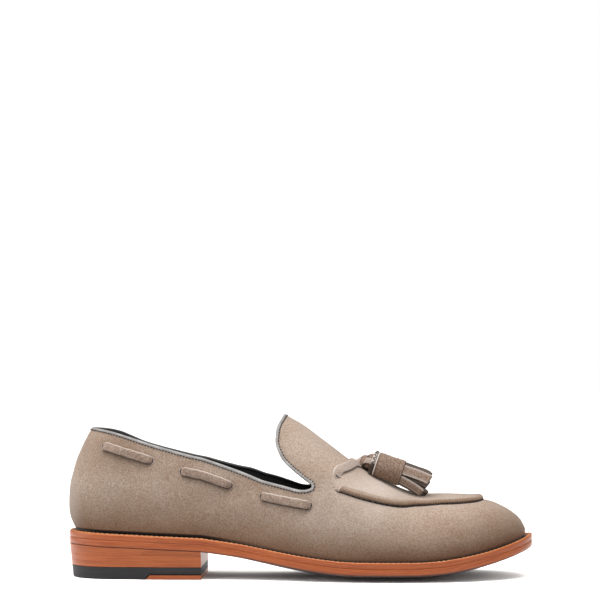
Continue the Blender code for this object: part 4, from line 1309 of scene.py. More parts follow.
def makeUpper():
    shares = roundShares(upper["apronColumns"], upper["quarterColumns"])
    rows, step = upperRows(shares)
    normals = gridNormals(rows)
    seamRow = int(np.argmax(step == 0.0))
    away = farFromLine(rows, rows[seamRow])
    x, y, z = rows[..., 0], rows[..., 1], rows[..., 2]
    behind = 1 - softStep((x - upper["fadeStart"]) / (upper["fadeEnd"] - upper["fadeStart"]))
    share = step[:, None] * (1 - behind * (1 - softStep(away / upper["fadeBreadth"])))
    lift = apronRise(x) * share
    calm = softStep((z - underside(x) - bed) / 0.01)
    waves = ripple(x, y, z, upper["waveLong"]) + 0.5 * ripple(x, y, z, upper["waveShort"], 2.0)
    lift = lift + upper["unevenness"] * calm * waves
    lift = lift + calm * creaseLift(x, z)
    full = np.exp(-((x - upper["fullPlace"]) / upper["fullReach"]) ** 2 - (y / upper["fullReach"]) ** 2)
    lift = lift + upper["fullness"] * full * softStep((z - 0.045) / 0.01)
    dimple = np.zeros_like(x)
    for side, slotX, across, _ in laceSlots():
        spot = upperPoint(side, slotX, across)
        apart = np.linalg.norm(rows - spot, axis=2)
        dimple = dimple + np.exp(-(apart / upper["dimpleReach"]) ** 2)
    lift = lift - upper["slotDimple"] * dimple
    outer = rows + normals * lift[..., None]

    feather = outer[-1]
    corner = onLevel(planOffset(feather, last["featherRound"] * 0.8), bed)
    edge = planOffset(feather, last["lastingMargin"])
    under = onLevel(edge, bed)
    over = onLevel(edge, bed + upper["suedeWall"])
    kept = list(range(0, len(rows), upper["innerEvery"]))
    if kept[-1] != len(rows) - 1:
        kept.append(len(rows) - 1)
    inner = rows[kept] - normals[kept] * upper["suedeWall"]
    innerCorner = onLevel(planOffset(feather, upper["suedeWall"] + last["featherRound"] * 0.5),
                          bed + upper["suedeWall"])
    loops = np.concatenate([outer, [corner, under, over, innerCorner], inner[::-1]])

    height = z - soleLevel(x, y, bed)
    # Near black at the foot of the upper: painted shade in the gap above the welt, partly dark dye
    ahead = softStep((x - upper["darkGapFrom"]) / upper["darkGapOver"])
    darkGapTop = upper["darkGapAtHeel"] + (upper["darkGapAtBall"] - upper["darkGapAtHeel"]) * ahead
    ink = 1 - softStep((height - darkGapTop) / upper["darkGapSoft"])
    tone = paintedLightAndShade(x, z)
    # Painted shade: darker towards the bottom, in the hollow at the flap's root under the rim, and in
    # the dimples round the slots
    paintedShade = upper["shadeLow"] * np.clip(1 - height / upper["wornHeight"], 0, 1) ** 1.4
    rootX, rootHeight = upper["flapRoot"]
    flapRoot = np.exp(-((x - rootX) / upper["flapRootReach"]) ** 2
                      - ((height - rootHeight) / upper["flapRootReach"]) ** 2)
    rimNear = np.exp(-np.linalg.norm(rows - rows[0], axis=2) / upper["rimReach"])
    paintedShade = paintedShade + upper["shadeRoot"] * flapRoot * rimNear + upper["shadeSlot"] * dimple
    # Negative tone adds painted shade
    paintedShade = np.clip(paintedShade - np.minimum(tone, 0), 0, 1)
    # Positive tone paints highlights, carried by the edge attribute toward the raw pale
    paintedLight = np.clip(tone, 0, 1)
    columns = loops.shape[1]
    # The rounded feather corner and the inner walls are painted near black, as shade in the gap and
    # inside
    hidden = np.zeros((len(loops) - len(rows), columns))
    inkAndShadeAll = np.concatenate([ink, hidden + 1.0]).ravel()
    paintedShadeAll = np.concatenate([paintedShade, hidden]).ravel()
    paintedLightAll = np.concatenate([paintedLight, hidden]).ravel()
    faces = gridFaces(len(loops), columns, closeRows=True)
    addPiece("suedeUpper", loops.reshape(-1, 3), faces, suedeMaterial, ("upper",),
             {"ink": inkAndShadeAll, "shade": paintedShadeAll, "edge": paintedLightAll})

    thin = np.arange(0, columns, upper["liningEvery"])
    front, back = (rows[kept][:, thin] - normals[kept][:, thin] * (upper["suedeWall"] + depth)
                   for depth in (upper["liningGap"], upper["liningWall"]))
    loops = np.concatenate([front, back[::-1]])
    faces = gridFaces(len(loops), len(thin), closeRows=True)
    addPiece("lining", loops.reshape(-1, 3), faces, liningMaterial)
    return outer[0], rows[0] - normals[0] * upper["rimWall"], outer[1]


rim, innerRim, belowRim = makeUpper()
print("upper done")


# The apron's edge: a puckered roll with a stitched crease under it, dark from its stitches and painted
# shade
roll = {
    "startX": 0.0238,
    "columns": 560,
    "proud": 0.0009,
    "pucker": 0.00030,
    "puckerLength": 0.0014,
    "waveAt": 0.0004,
    "waveReach": 0.0011,
    "profileEnd": 0.40,
    "endRound": 0.0022,
    "rawEnd": 0.0014,
    "stitchPitch": 0.0037,
    "stitchSize": (0.0029, 0.0010, 0.0008),
    "stitchOut": 0.00066,
    "stitchUp": 0.00045,
}


def seamLine(count):
    shares = np.linspace(0, roll["profileEnd"], 900)
    line = wholeLoopOpen(shares)
    line = line[line[:, 0] > roll["startX"]]
    travelled = travelAlong(line)
    at = np.linspace(0, travelled[-1], count)
    return readLine(at, travelled, line), at


# The seam from the outer side round the toe to the inner side
def wholeLoopOpen(shares):
    outer = upperBand(-1, shares, np.zeros_like(shares))[::-1]
    inner = upperBand(1, shares, np.zeros_like(shares))[1:]
    return np.concatenate([outer, inner])


def makeRoll():
    line, travelled = seamLine(roll["columns"])
    tangent = unit(np.gradient(line, axis=0))
    normal = unit(topNormal(line[:, 0], line[:, 1]))
    inward = unit(np.cross(normal, tangent))
    step = last["apronStep"]
    proud = roll["proud"]
    # Inwards from the seam, height, near black in the crease (painted shade over dark stitches) and
    # brown on the roll's wall (painted shade, partly compressed suede)
    profile = (
        (-0.00125, -0.00030, 1.0, 0.0),
        (-0.00110, 0.00028, 1.0, 0.0),
        (-0.00025, 0.00036, 1.0, 0.0),
        (0.00014, 0.00040, 1.0, 0.0),
        (-0.00020, 0.00052, 0.85, 0.8),
        (-0.00058, 0.00085, 0.35, 0.8),
        (-0.00074, 0.00135, 0.0, 0.70),
        (-0.00060, 0.00185, 0.0, 0.62),
        (-0.00010, step + 0.00042, 0.0, 0.50),
        (0.00080, step + proud * 0.90, 0.0, 0.40),
        (0.00140, step + proud, 0.0, 0.20),
        (0.00210, step + proud * 0.80, 0.0, 0.06),
        (0.00300, step + proud * 0.34, 0.0, 0.12),
        (0.00400, step + 0.00002, 0.0, 0.10),
        (0.00500, step - 0.00030, 0.0, 0.0),
    )
    total = travelled[-1]
    fromEnd = np.minimum(travelled, total - travelled)
    ends = softStep(fromEnd / roll["endRound"])
    raw = 1 - softStep((fromEnd - roll["rawEnd"]) / 0.0008)
    phase = 2 * math.pi * travelled / roll["puckerLength"]
    phase = phase + 1.3 * np.sin(2 * math.pi * travelled / 0.0071)
    wave = np.sin(phase) * (0.65 + 0.35 * np.sin(2 * math.pi * travelled / 0.0134 + 1.0))
    loops = []
    ink = []
    shade = []
    edge = []
    for inside, height, dark, brown in profile:
        rounded = math.exp(-((inside - roll["waveAt"]) / roll["waveReach"]) ** 2) * (height > 0.0006)
        up = height * ends + (ends - 1) * 0.0004 + wave * roll["pucker"] * rounded * ends
        base = line + inward * (inside + wave * 0.7 * roll["pucker"] * rounded)[:, None]
        ground = topOfUpper(base[:, 0], base[:, 1]) - apronRise(base[:, 0])
        base[:, 2] = ground
        loops.append(base + normal * up[:, None])
        ink.append(np.full(len(line), dark))
        # Painted shade on the roll's wall, darker in the puckers' hollows
        shade.append(np.clip(brown * (1 - 0.40 * wave), 0, 1))
        edge.append(raw * 0.8 * (dark < 0.9) * (brown > 0.05))
    loops = np.array(loops)
    faces = gridFaces(len(loops), len(line), closeRows=True, closeColumns=False)
    faces.append([row * len(line) for row in range(len(loops))])
    faces.append([row * len(line) + len(line) - 1 for row in range(len(loops))][::-1])
    addPiece("apronRoll", loops.reshape(-1, 3), faces, suedeMaterial, (),
             {"ink": np.concatenate(ink), "shade": np.concatenate(shade), "edge": np.concatenate(edge)})
    crease = line - inward * roll["stitchOut"] + normal * roll["stitchUp"]
    addStitches("apronStitches", crease, roll["stitchPitch"], tangent, normal, roll["stitchSize"],
                darkThread)


makeRoll()
print("apron roll done")


# Binding: a rounded leather bead on the rim, with a row of dark stitches under it
binding = {
    "height": 0.0016,
    "proud": 0.0005,
    "wall": 0.0020,
    "turns": 14,
    "seat": 0.0004,
    "swell": 0.0003,
    "round": 0.8,
    "stitchPitch": 0.0020,
    "stitchSize": (0.0012, 0.0007, 0.0007),
    "stitchOut": 0.00042,
}


def makeBinding():
    across = unit(rim - innerRim)
    tangent = unit(np.roll(rim, -1, axis=0) - np.roll(rim, 1, axis=0))
    rise = unit(np.cross(tangent, across))
    rise *= np.sign(np.sum(rise * (rim - belowRim), axis=1, keepdims=True))
    middle = (rim + innerRim) / 2 + rise * (last["gap"] + binding["height"] / 2 - binding["seat"])
    width = binding["wall"] / 2 + binding["proud"]
    high = binding["height"] / 2 + binding["swell"]
    loops = []
    ink = []
    for turn in np.linspace(0, 2 * math.pi, binding["turns"], endpoint=False):
        out = np.sign(math.cos(turn)) * abs(math.cos(turn)) ** binding["round"]
        up = np.sign(math.sin(turn)) * abs(math.sin(turn)) ** binding["round"]
        loops.append(middle + across * width * out + rise * high * up)
        # Painted shade under the bead; its inner half is painted near black
        ink.append(np.full(len(rim), softStep((-up - 0.55) / 0.35) if out > -0.3 else 1.0))
    faces = gridFaces(len(loops), len(rim), closeRows=True)
    addPiece("topLineBinding", np.array(loops).reshape(-1, 3), faces, bindingMaterial,
             ("topline_binding",), {"ink": np.concatenate(ink)})
    closed = np.concatenate([np.arange(len(rim)), [0]])
    outward = across * (binding["wall"] / 2 + binding["stitchOut"])
    seam = middle + outward - rise * (binding["height"] / 2 + 0.0002)
    addStitches("bindingStitches", seam[closed], binding["stitchPitch"], tangent[closed],
                across[closed], binding["stitchSize"], darkThread)


makeBinding()
print("binding done")


# Sole: plates and rings on the sole's plan
sole = {
    "stations": 150,
    "columns": 18,
    "stitchInset": 0.0019,
    "stitchPitch": 0.0032,
    "stitchSize": (0.0025, 0.0007, 0.0006),
    "topWave": 0.00016,
    "endPlaces": 26,
}


# Places along the sole, close together at its rounded ends
def placesAlong(inset, front=None):
    ends = np.linspace(0, math.pi / 2, sole["endPlaces"])
    backRound = last["heelRound"] - inset
    toeRound = last["toeRound"] - inset
    back = -last["soleLength"] / 2 + last["heelRound"] - backRound * np.cos(ends)
    fore = last["soleLength"] / 2 - last["toeRound"] + toeRound * np.sin(ends)
    middle = np.linspace(back[-1], fore[0], sole["stations"])[1:-1]
    places = np.concatenate([back, middle, fore])
    if front is None:
        return places
    return np.append(places[places < front - 0.0005], front)


def planLoop(inset):
    places = placesAlong(inset)[::-1]
    outer = np.column_stack([places, -halfBreadth(-1, places, inset)])
    inner = np.column_stack([places, halfBreadth(1, places, inset)])[1:-1][::-1]
    return np.concatenate([outer, inner])


# Plate through levels, each an inset and a height over the plan, from the underside to the top.
# Edges say how pale each level's rim is and the dark shares how dark; on the outsole these are a
# painted highlight and painted contact shadow.
def addPlate(name, levels, material, replaced, front=None, edges=None, extra=(), inksAndShades=None):
    columns = np.linspace(-1, 1, sole["columns"])
    columns = np.sign(columns) * np.abs(columns) ** 0.8
    layers = []
    values = []
    pale = []
    dark = []
    for number, (inset, height) in enumerate(levels):
        places = np.unique(np.append(placesAlong(inset, front), extra))
        outer = halfBreadth(-1, places, inset)[:, None]
        inner = halfBreadth(1, places, inset)[:, None]
        y = np.where(columns < 0, columns * outer, columns * inner)
        x = np.repeat(places[:, None], len(columns), axis=1)
        z = height(x, y)
        layers.append(np.stack([x, y, z], axis=-1))
        values.append((z - underside(x) if front is None else z + 0 * x).ravel())
        pale.append(np.full(z.size, edges[number] if edges else 0.0))
        dark.append(np.full(z.size, inksAndShades[number] if inksAndShades else 0.0))
    rows, count, _ = layers[0].shape
    edge = [(row, 0) for row in range(rows)]
    edge += [(rows - 1, column) for column in range(1, count)]
    edge += [(row, count - 1) for row in range(rows - 2, -1, -1)]
    edge += [(0, column) for column in range(count - 2, 0, -1)]
    size = rows * count
    faces = gridFaces(rows, count, closeColumns=False)
    faces += gridFaces(rows, count, closeColumns=False, first=size * (len(layers) - 1))
    ring = [row * count + column for row, column in edge]
    for layer in range(len(layers) - 1):
        low = layer * size
        for here, ahead in zip(ring, ring[1:] + ring[:1]):
            faces.append((low + here, low + ahead, low + size + ahead, low + size + here))
    vertices = np.concatenate([layer.reshape(-1, 3) for layer in layers])
    return addPiece(name, vertices, faces, material, replaced,
                    {"layer": np.concatenate(values), "edge": np.concatenate(pale),
                     "ink": np.concatenate(dark)}, sharp=35)


def onSole(rise):
    return lambda x, y: soleLevel(x, y, rise)


def flat(height):
    return lambda x, y: np.full_like(x, height)


def makeOutsole():
    thick = last["outsoleThickness"]
    # Light is a painted highlight on the top edge; near black along the bottom edge is painted contact
    # shadow
    profile = (
        ("inset", "rise", "light", "ink"),
        (0.0011, 0.0, 0.0, 0.95),
        (0.0005, 0.00012, 0.0, 0.9),
        (0.0001, 0.0005, 0.0, 0.55),
        (0.0, 0.0010, 0.0, 0.0),
        (0.0, thick - 0.0006, 0.0, 0.0),
        (0.0001, thick - 0.00025, 0.3, 0.0),
        (0.0004, thick, 0.3, 0.0),
    )
    rows = rowsOf(profile)
    addPlate("leatherOutsole", [(row["inset"], onSole(row["rise"])) for row in rows], soleMaterial,
             ("outsole",), edges=[row["light"] for row in rows],
             inksAndShades=[row["ink"] for row in rows])


def makeWelt():
    low = last["outsoleThickness"] + last["gap"]
    top = low + last["weltThickness"]
    inner = last["weltLedge"] + last["lastingMargin"]
    # Inset from the sole's edge, height over the plan and how pale the edge is: a painted highlight on
    # the rounded top
    profile = (
        (0.0004, low - 0.00024, 0.2),
        (0.0001, low - 0.00006, 0.3),
        (0.0, low + 0.0003, 0.0),
        (0.0, top - 0.0010, 0.0),
        (0.00012, top - 0.0005, 0.45),
        (0.00045, top - 0.00012, 0.95),
        (0.0010, top, 0.9),
        (0.0017, top - 0.00010, 0.5),
        (0.0021, top - 0.00010, 0.5),
        (0.0028, top, 0.6),
        (0.0036, top, 0.3),
        (0.0052, top, 0.0),
        (inner, top, 0.0),
        (inner, low, 0.0),
    )
    upperHalf = low + 0.002
    loops = []
    layer = []
    pale = []
    ink = []
    for inset, rise, light in profile:
        plan = planLoop(inset)
        loop = onLevel(plan, rise)
        x, y, level = plan[:, 0], plan[:, 1], 0 * plan[:, 0]
        wave = ripple(x, y, level, 0.011) + 0.7 * ripple(x, y, level, 0.0053, 3.0)
        if rise > upperHalf:
            loop[:, 2] += wave * sole["topWave"]
        loops.append(loop)
        layer.append(np.full(len(loop), rise))
        pale.append(np.full(len(loop), light))
        # Near black on the welt's top under and beside the upper's edge: painted shade in the gap,
        # partly dark dye
        ink.append(np.full(len(loop), softStep((inset - 0.0033) / 0.0006) * (rise > upperHalf)))
    faces = gridFaces(len(loops), len(loops[0]), closeRows=True)
    shades = {"layer": np.concatenate(layer), "edge": np.concatenate(pale), "ink": np.concatenate(ink)}
    addPiece("leatherWelt", np.array(loops).reshape(-1, 3), faces, soleMaterial,
             ("welt",), shades, sharp=35)
    line = onLevel(planLoop(sole["stitchInset"]), top + 0.00005)
    line = np.concatenate([line, line[:1]])
    tangent = unit(np.gradient(line, axis=0))
    upward = np.tile(np.array([0.0, 0.0, 1.0]), (len(line), 1))
    addStitches("weltStitches", line, sole["stitchPitch"], tangent, upward, sole["stitchSize"],
                weltThread)


heel = {
    "topLift": 0.0080,
    "lift": 0.0037,
    "pieceThickness": 0.0028,
    "pieceLength": 0.036,
    "pieceSlant": 0.0025,
    "pieceEdge": 0.0004,
    "bevel": 0.00009,
    "lines": (0.35, 0.15, 0.15, 0.35),
}


def taperAt(height):
    return last["heelTaper"] * (1 - height / last["heelHeight"])


def makeHeel():
    breast = last["heelLength"] - last["soleLength"] / 2
    first = heel["topLift"]
    second = first + heel["lift"]
    third = second + heel["lift"]
    bevel = heel["bevel"]
    gap = last["gap"]
    top = last["heelHeight"]
    wedge = ((taperAt(third) + bevel, flat(third)), (taperAt(third), flat(third + bevel)),
             (taperAt(top), onSole(-gap * 0.2 - bevel)), (taperAt(top) + bevel, onSole(-gap * 0.15)))
    addPlate("heelWedge", wedge, soleMaterial, ("heel_wedge",), breast, heel["lines"])
    for name, low, high, node in (("heelLiftUpper", second, third, "heel_lift_1"),
                                  ("heelLiftLower", first, second, "heel_lift_2")):
        high = high - gap * 0.1
        levels = ((taperAt(low) + bevel, flat(low)), (taperAt(low), flat(low + bevel)),
                  (taperAt(high), flat(high - bevel)), (taperAt(high) + bevel, flat(high)))
        addPlate(name, levels, soleMaterial, (node,), breast, heel["lines"])
    joint = breast - heel["pieceLength"]
    ceiling = heel["pieceThickness"] + gap * 0.5

    def rubberUnderside(x, y):
        return ceiling * np.clip((x - joint) / heel["pieceSlant"], 0, 1)

    levels = ((taperAt(0) + 0.0006, rubberUnderside),
              (taperAt(0) + 0.0001, lambda x, y: rubberUnderside(x, y) + 0.0005),
              (taperAt(first), flat(first - gap * 0.5 - bevel)),
              (taperAt(first) + bevel, flat(first - gap * 0.5)))
    addPlate("rubberTopLift", levels, rubberMaterial, ("top_lift_rubber",), breast,
             extra=(joint, joint + heel["pieceSlant"]))
    makeLeatherPiece(joint, breast)


# Leather piece under the front of the rubber, its rear end slanted
def makeLeatherPiece(joint, breast):
    rear = joint + 2 * last["gap"]
    edge = heel["pieceEdge"]
    top = heel["pieceThickness"]
    corners = ((-1, 0.0, edge), (1, 0.0, edge), (1, edge, 0.0), (1, top, 0.0), (-1, top, 0.0),
               (-1, edge, 0.0))
    sections = []
    layers = []
    for share in np.linspace(0, 1, 24):
        section = []
        for side, height, inset in corners:
            low = rear + heel["pieceSlant"] * height / top
            x = low + (breast - low) * share
            half = float(halfBreadth(side, np.array(x), taperAt(height) + inset))
            section.append((x, side * half, height))
            layers.append(height)
        sections.append(section)
    vertices, faces = tubeShape(sections)
    addPiece("leatherTopLift", vertices, faces, soleMaterial, ("top_lift_leather",),
             {"layer": layers}, sharp=35)


sock = {"seat": 0.0020, "inset": 0.0060, "thickness": 0.0026}


# Sock over the insole: black leather with rounded edges
def makeSock():
    seat = bed + sock["seat"] + last["gap"]
    outer = last["weltLedge"] + sock["inset"]
    top = seat + sock["thickness"]
    levels = ((outer + 0.001, onSole(seat)), (outer, onSole(seat + 0.0006)),
              (outer, onSole(top - 0.0004)), (outer + 0.0008, onSole(top)))
    addPlate("sockLining", levels, liningMaterial, ("insole",))


makeOutsole()
makeWelt()
makeHeel()
makeSock()
print("sole done")


# The thong's visible runs, each diving through a slot at both ends
def makeLaceRuns():
    past = lace["past"]
    for side, word in ((-1, "Lateral"), (1, "Medial")):
        for number, run in enumerate(rowsOf(lace["runs"]), start=1):
            share = np.linspace(-past, 1 + past, lace["places"])
            x = xOf(run["rearAlong"] + (run["frontAlong"] - run["rearAlong"]) * share)
            height = run["rearHeight"] + (run["frontHeight"] - run["rearHeight"]) * share
            across = acrossOfHeight(x, underside(x) + bed + height * last["upperHeight"])
            points, normals = surfaceFrame(side, x, across)
            ends = np.clip(np.minimum(share + past, 1 + past - share) / lace["roundEnd"], 0, 1)
            rounded = np.sqrt(1 - (1 - ends) ** 2)
            dive = (1 - rounded) * lace["dive"]
            sag = lace["sag"] * ripple(x, height, across, lace["sagLength"], number)
            centres = points + normals * (last["gap"] + lace["thickness"] / 2 - dive + sag)[:, None]
            widths = lace["width"] * (lace["endWidth"] + (1 - lace["endWidth"]) * rounded)
            widths = widths * (1 + 0.025 * np.sin(share * 23 + number))
            addThong(f"collarLace{word}{number}", centres, normals, widths,
                     (f"collar_lace_{word.lower()}_{number}",))


# Each slot's place on the surface, its normal and the direction away from the thong
def slotPlaces():
    places = []
    for side, x, across, end in laceSlots():
        spot, normal = surfaceFrame(side, x, across)
        ahead, _ = surfaceFrame(side, x + 0.001, across + 0.0008)
        along = unit(ahead - spot) * (-1 if end == "rear" else 1)
        along = unit(along - normal * np.dot(along, normal))
        places.append((spot + along * lace["slotBeyond"], normal, along))
    for side in (-1, 1):
        x = float(xOf(lace["endSlotAlong"]))
        spot, normal = surfaceFrame(side, x, lace["endSlotAcross"])
        spot = spot + normal * apronRise(x)
        along = unit(spot - laceEntry(side))
        along = unit(along - normal * np.dot(along, normal))
        places.append((spot + along * lace["endSlotBeyond"], normal, along))
    return places


slotForm = {
    "sink": 0.00016,
    "depth": 0.00024,
    "halfLength": 0.0024,
    "halfWidth": 0.00048,
    "bow": 0.0012,
    "lipLength": 0.0027,
    "lipWidth": 0.0008,
    "lipRadius": 0.00028,
    "lipShade": 0.12,
}


# Dark insets that stand in for the shade inside the slots at the thong's ends, with a raised lip
def makeSlots():
    shapes = []
    lips = []
    for middle, normal, along in slotPlaces():
        middle = middle - normal * slotForm["sink"]
        up = unit(np.cross(normal, along))
        turns = np.radians(np.arange(0, 360, 15))
        ring = []
        lip = []
        for t in turns:
            bow = math.cos(t) ** 2 * slotForm["bow"]
            ring.append(middle + up * math.cos(t) * slotForm["halfLength"]
                        + along * (math.sin(t) * slotForm["halfWidth"] - bow))
            centre = middle + up * math.cos(t) * slotForm["lipLength"]
            centre = centre + along * (math.sin(t) * slotForm["lipWidth"] - bow)
            out = unit(up * math.cos(t) + along * math.sin(t))
            lip.append([centre + (out * math.cos(a) + normal * math.sin(a)) * slotForm["lipRadius"]
                        for a in np.radians(np.arange(0, 360, 60))])
        opening = np.array(ring)
        shapes.append(tubeShape([opening, opening + normal * slotForm["depth"]]))
        lips.append((np.array(lip).reshape(-1, 3), gridFaces(len(lip), 6, closeRows=True)))
    vertices, faces = joinShapes(shapes)
    addPiece("laceSlots", vertices, faces, liningMaterial)
    vertices, faces = joinShapes(lips)
    addPiece("slotLips", vertices, faces, suedeMaterial, (),
             {"edge": np.full(len(vertices), slotForm["lipShade"])})


makeLaceRuns()
makeSlots()
print("collar lace done")


# Two directions square to a tassel's own, sideways and upwards
def ringFrame(direction):
    side = unit(np.cross(direction, (0.0, 0.0, 1.0)))
    return side, np.cross(side, direction)


# Knot: a twisted bundle of thong from the lace's ends to the caps, with painted shade in its grooves
# and where it meets the vamp
bundleTable = (
    ("x", "top", "half"),
    (0.0350, 0.0735, 0.0030),
    (0.0370, 0.0752, 0.0056),
    (0.0390, 0.0770, 0.0078),
    (0.0410, 0.0779, 0.0088),
    (0.0430, 0.0781, 0.0092),
    (0.0450, 0.0785, 0.0098),
    (0.0470, 0.0790, 0.0106),
    (0.0490, 0.0788, 0.0110),
    (0.0505, 0.0775, 0.0104),
)


def makeKnot():
    sections = []
    shades = []
    inksAndShades = []
    turns = np.radians(np.arange(0, 360, 4))
    low = np.clip(-np.sin(turns), 0, 1)
    for x in np.linspace(bundleTable[1][0], bundleTable[-1][0], knot["sections"]):
        top = float(readTable(bundleTable, "top", x))
        half = float(readTable(bundleTable, "half", x))
        ground = float(topOfUpper(x, 0.0))
        middle = ground + (top - ground) * knot["middle"]
        phase = x / knot["turnLength"] + turns / math.pi + 0.25 * np.sin(2 * turns)
        twist = np.abs(np.sin(math.pi * phase)) ** 0.55
        rise = knot["ridge"] * twist - knot["groove"]
        y = (half + rise) * np.sign(np.cos(turns)) * np.abs(np.cos(turns)) ** 0.8
        z = middle + (top - middle + rise) * np.abs(np.sin(turns)) ** 0.8 * np.sign(np.sin(turns))
        floor = topOfUpper(np.full_like(y, x), y) + knot["clearance"]
        z = np.where(low > 0, middle + (floor - middle) * low ** 0.6, z)
        z = np.maximum(z, floor)
        sections.append(np.column_stack([np.full_like(y, x), y, z]))
        # Painted shade in the grooves between the turns and on the underside
        shades.append(np.clip(0.85 * (1 - twist) + 0.25 + 0.5 * low, 0, 1))
        inksAndShades.append(np.clip(0.75 * (1 - twist * 1.25) + softStep((low - 0.05) / 0.35) * 0.97, 0, 0.97))
    vertices, faces = tubeShape(sections)
    addPiece("knotThong", vertices, faces, thongMaterial, ("knot",),
             {"shade": np.concatenate(shades), "ink": np.concatenate(inksAndShades)})


# Cap of a tassel: rolled suede with a stitched band at its rear, open at its front
def makeCap(word, side):
    start, direction = tasselLine(side)
    across, up = ringFrame(direction)
    back = tassel["capBack"] / 2
    front = tassel["capFront"] / 2
    long = tassel["capLength"]
    # Distance along the tassel, radius, near black (painted shade in the openings and grooves) and how
    # pale (the raw band)
    profile = [
        (0.0004, 0.0016, 0.6, 0.0),
        (-0.0004, 0.0036, 0.5, 0.0),
        (-0.0014, back - 0.0026, 0.5, 0.0),
        (-0.0022, back - 0.0014, 0.3, 0.2),
        (-0.0023, back - 0.0009, 0.0, 0.8),
        (-0.0019, back - 0.0005, 0.0, 0.9),
        (-0.0010, back - 0.0001, 0.0, 0.8),
        (0.0001, back + 0.0001, 0.1, 0.6),
        (0.0002, back + 0.0001, 0.7, 0.0),
        (0.0005, back + 0.0001, 0.7, 0.0),
        (0.0006, back + 0.0005, 0.0, 1.4),
        (0.0012, back + 0.0005, 0.0, 1.4),
        (0.0013, back + 0.0001, 0.75, 0.0),
        (0.0017, back + 0.0001, 0.2, 0.0),
    ]
    for share in np.linspace(0.14, 0.92, 34):
        bulge = tassel["capBulge"] * math.sin(math.pi * share)
        profile.append((long * share, back + (front - back) * share + bulge, 0.0, 0.0))
    profile += [
        (long - 0.0009, front, 0.0, 0.1),
        (long - 0.0003, front - 0.0001, 0.55, 0.0),
        (long, front - 0.0004, 0.9, 0.0),
        (long - 0.0003, front - 0.0013, 0.8, 0.0),
        (long - 0.0015, front - 0.0015, 1.0, 0.0),
        (long - 0.0030, 0.0012, 1.0, 0.0),
    ]
    turns = np.radians(np.arange(0, 360, 5))
    sections = []
    ink = []
    edge = []
    shade = []
    for distance, radius, dark, pale in profile:
        place = distance / long
        uneven = 1 + 0.012 * np.sin(3 * turns + 40 * place) + 0.008 * np.sin(7 * turns - 9 * place)
        out = np.outer(np.cos(turns), across) + np.outer(np.sin(turns), up)
        ring = start + direction * distance + (radius * uneven)[:, None] * out
        x, y, z = ring.T
        crease = ripple(x, y, z, 0.0052, side) + 0.8 * ripple(x, y, z, 0.0027, 2 + side)
        inside = 0.0025 < distance < long - 0.0015
        ring = ring + out * (tassel["capWave"] * crease * inside)[:, None]
        fold = np.clip(np.sin(crease * 7.0) - 0.45, 0, 1) * inside
        # Painted shade: darker on the underside and in the folds
        shade.append(np.clip(0.16 + 0.30 * np.clip(-np.sin(turns) + 0.2, 0, 1) + 0.75 * fold, 0, 1))
        sections.append(ring)
        # Painted shade under the rear opening's lower half
        shown = softStep((np.sin(turns) + 0.15) / 0.4) if distance < 0.0004 else np.ones(len(turns))
        ink.append(np.clip(dark + 0.75 * (1 - shown), 0, 1))
        edge.append(pale * 0.7 * shown)
    vertices, faces = tubeShape(sections)
    shades = {"ink": np.concatenate(ink), "edge": np.concatenate(edge), "shade": np.concatenate(shade)}
    cap = addPiece(f"tasselCap{word}", vertices, faces, thongMaterial,
                   (f"tassel_cap_{word.lower()}",), shades)
    makeZigzag(word, start - direction * 0.0008, direction, back + 0.00005)
    return cap


# Zigzag stitches on the upper half of a cap's rear band
def makeZigzag(word, middle, direction, radius):
    across, up = ringFrame(direction)
    spots = []
    ways = []
    ups = []
    for place in range(tassel["bandStitches"]):
        turn = 2 * math.pi * place / tassel["bandStitches"]
        if math.sin(turn) < -0.1:
            continue
        out = across * math.cos(turn) + up * math.sin(turn)
        around = -across * math.sin(turn) + up * math.cos(turn)
        lean = 1 if place % 2 else -1
        spots.append(middle + out * radius)
        ways.append(direction * 0.9 + around * lean * 0.6)
        ups.append(out)
    shapes = stitchShapes(np.array(spots), np.array(ways), np.array(ups), *tassel["bandStitchSize"])
    vertices, faces = joinShapes(shapes)
    addPiece(f"capStitches{word}", vertices, faces, darkThread)


# Middle line of a strip that leaves the cap, droops and rests on the vamp
def stripLine(side, strip, number, root, direction, out, radius):
    reach = (tassel["fringe"] + tassel["rootInside"]) * strip["length"]
    droop = strip["droop"] if side < 0 else 0.3 * strip["droop"] - tassel["farLift"]
    line = []
    for share in np.linspace(0, 1, tassel["stripPlaces"]):
        splay = 0.0004 * share + 0.0006 * share * math.sin(number * 1.9)
        spot = root + direction * reach * share + out * (radius + splay)
        fall = droop * share ** 1.3 + 0.0004 * share ** 3 + 0.0007 * share ** 8
        spot = spot - np.array([0.0, 0.0, fall])
        spot = spot + np.cross(direction, out) * 0.0008 * share ** 2 * math.sin(number * 2.7)
        floor = float(topOfUpper(spot[0], spot[1])) + tassel["floorGap"]
        spot[2] = max(spot[2], floor)
        line.append(spot)
    return np.array(line)


# Ten corners round a strip: five on its inner face, then five on its outer one
stripCorners = [(a, -1) for a in (-1, -0.5, 0, 0.5, 1)] + [(a, 1) for a in (1, 0.5, 0, -0.5, -1)]


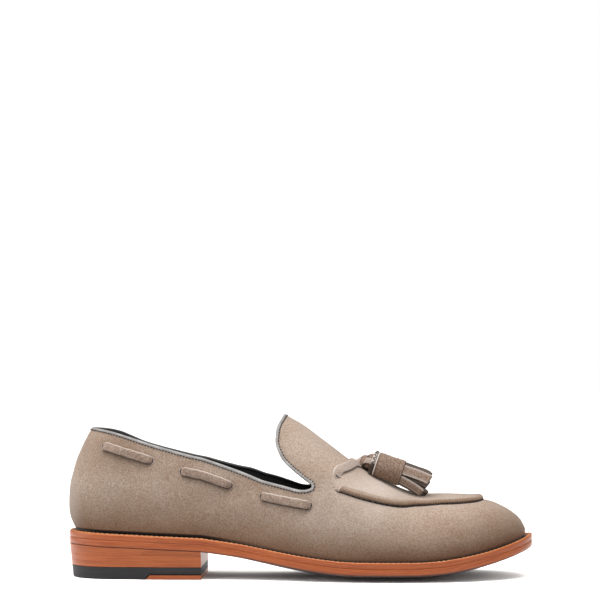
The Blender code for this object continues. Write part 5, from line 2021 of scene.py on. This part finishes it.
def stripRings(line, out, width, number):
    steps = np.gradient(line, axis=0)
    thick = tassel["stripThickness"] / 2
    twist = tassel["twist"] * math.sin(number * 3.3)
    rings = []
    for place, share in enumerate(np.linspace(0, 1, len(line))):
        sideways = unit(np.cross(steps[place], out))
        lift = unit(np.cross(sideways, steps[place]))
        turned = math.cos(twist * share)
        leant = math.sin(twist * share)
        sideways, lift = sideways * turned + lift * leant, lift * turned - sideways * leant
        half = width / 2 * (1 - 0.10 * (share > 0.97))
        curl = tassel["curl"] * (1 - 0.5 * share)
        ring = []
        for a, b in stripCorners:
            bend = curl * (1 - a * a) - curl * 0.5
            shrink = 1.0 if abs(a) < 1 else 0.96
            ring.append(line[place] + sideways * half * a * shrink + lift * (thick * b + bend))
        rings.append(ring)
    return np.array(rings)


# Fringe: cut strips in two layers, near black on the faces that look inwards, dark flesh side and
# painted shade together, with painted shade at the tips
def makeFringe(word, side):
    start, direction = tasselLine(side)
    across, up = ringFrame(direction)
    root = start + direction * (tassel["capLength"] - tassel["rootInside"])
    outer = tassel["capFront"] / 2 - tassel["shoulder"]
    count = tassel["stripPlaces"]
    innerFace = np.array([1.0] * 5 + [0.0] * 5)
    rawEdges = np.array([0.5, 0, 0, 0, 0.5, 0.5, 0, 0, 0, 0.5])
    shapes = []
    inksAndShades = []
    edges = []
    for number, strip in enumerate(rowsOf(stripTable)):
        turn = math.radians(strip["turn"] if side < 0 else 180 - strip["turn"])
        radius = outer * (0.5 if strip["inside"] else 1.0)
        out = across * math.cos(turn) + up * math.sin(turn)
        line = stripLine(side, strip, number, root, direction, out, radius)
        rings = stripRings(line, out, strip["width"], number)
        shapes.append(tubeShape(rings))
        facing = np.tile(innerFace, count)
        if np.dot(np.mean(rings[:, 7] - rings[:, 2], axis=0), out) < 0:
            facing = 1 - facing
        tip = np.repeat(np.linspace(0, 1, count) > 0.985, len(stripCorners))
        # Inner faces near black from the dark flesh side and painted shade; tips and the strips listed
        # as dark get painted shade
        inksAndShades.append(np.clip(facing * 0.92 + tip * 0.75 + (1 - facing) * strip["dark"], 0, 1))
        edges.append(np.tile(rawEdges, count) * (1 - facing))
    vertices, faces = joinShapes(shapes)
    shades = {"ink": np.concatenate(inksAndShades), "edge": np.concatenate(edges),
              "shade": np.full(len(vertices), 0.05)}
    return addPiece(f"tasselFringe{word}", vertices, faces, thongMaterial,
                    (f"tassel_fringe_{word.lower()}",), shades, sharp=60)


makeKnot()
for word, side in (("Lateral", -1), ("Medial", 1)):
    cap = makeCap(word, side)
    fringe = makeFringe(word, side)
    end, line, exitPoint = makeLaceEnd(word, side)
print("lace and tassels done")
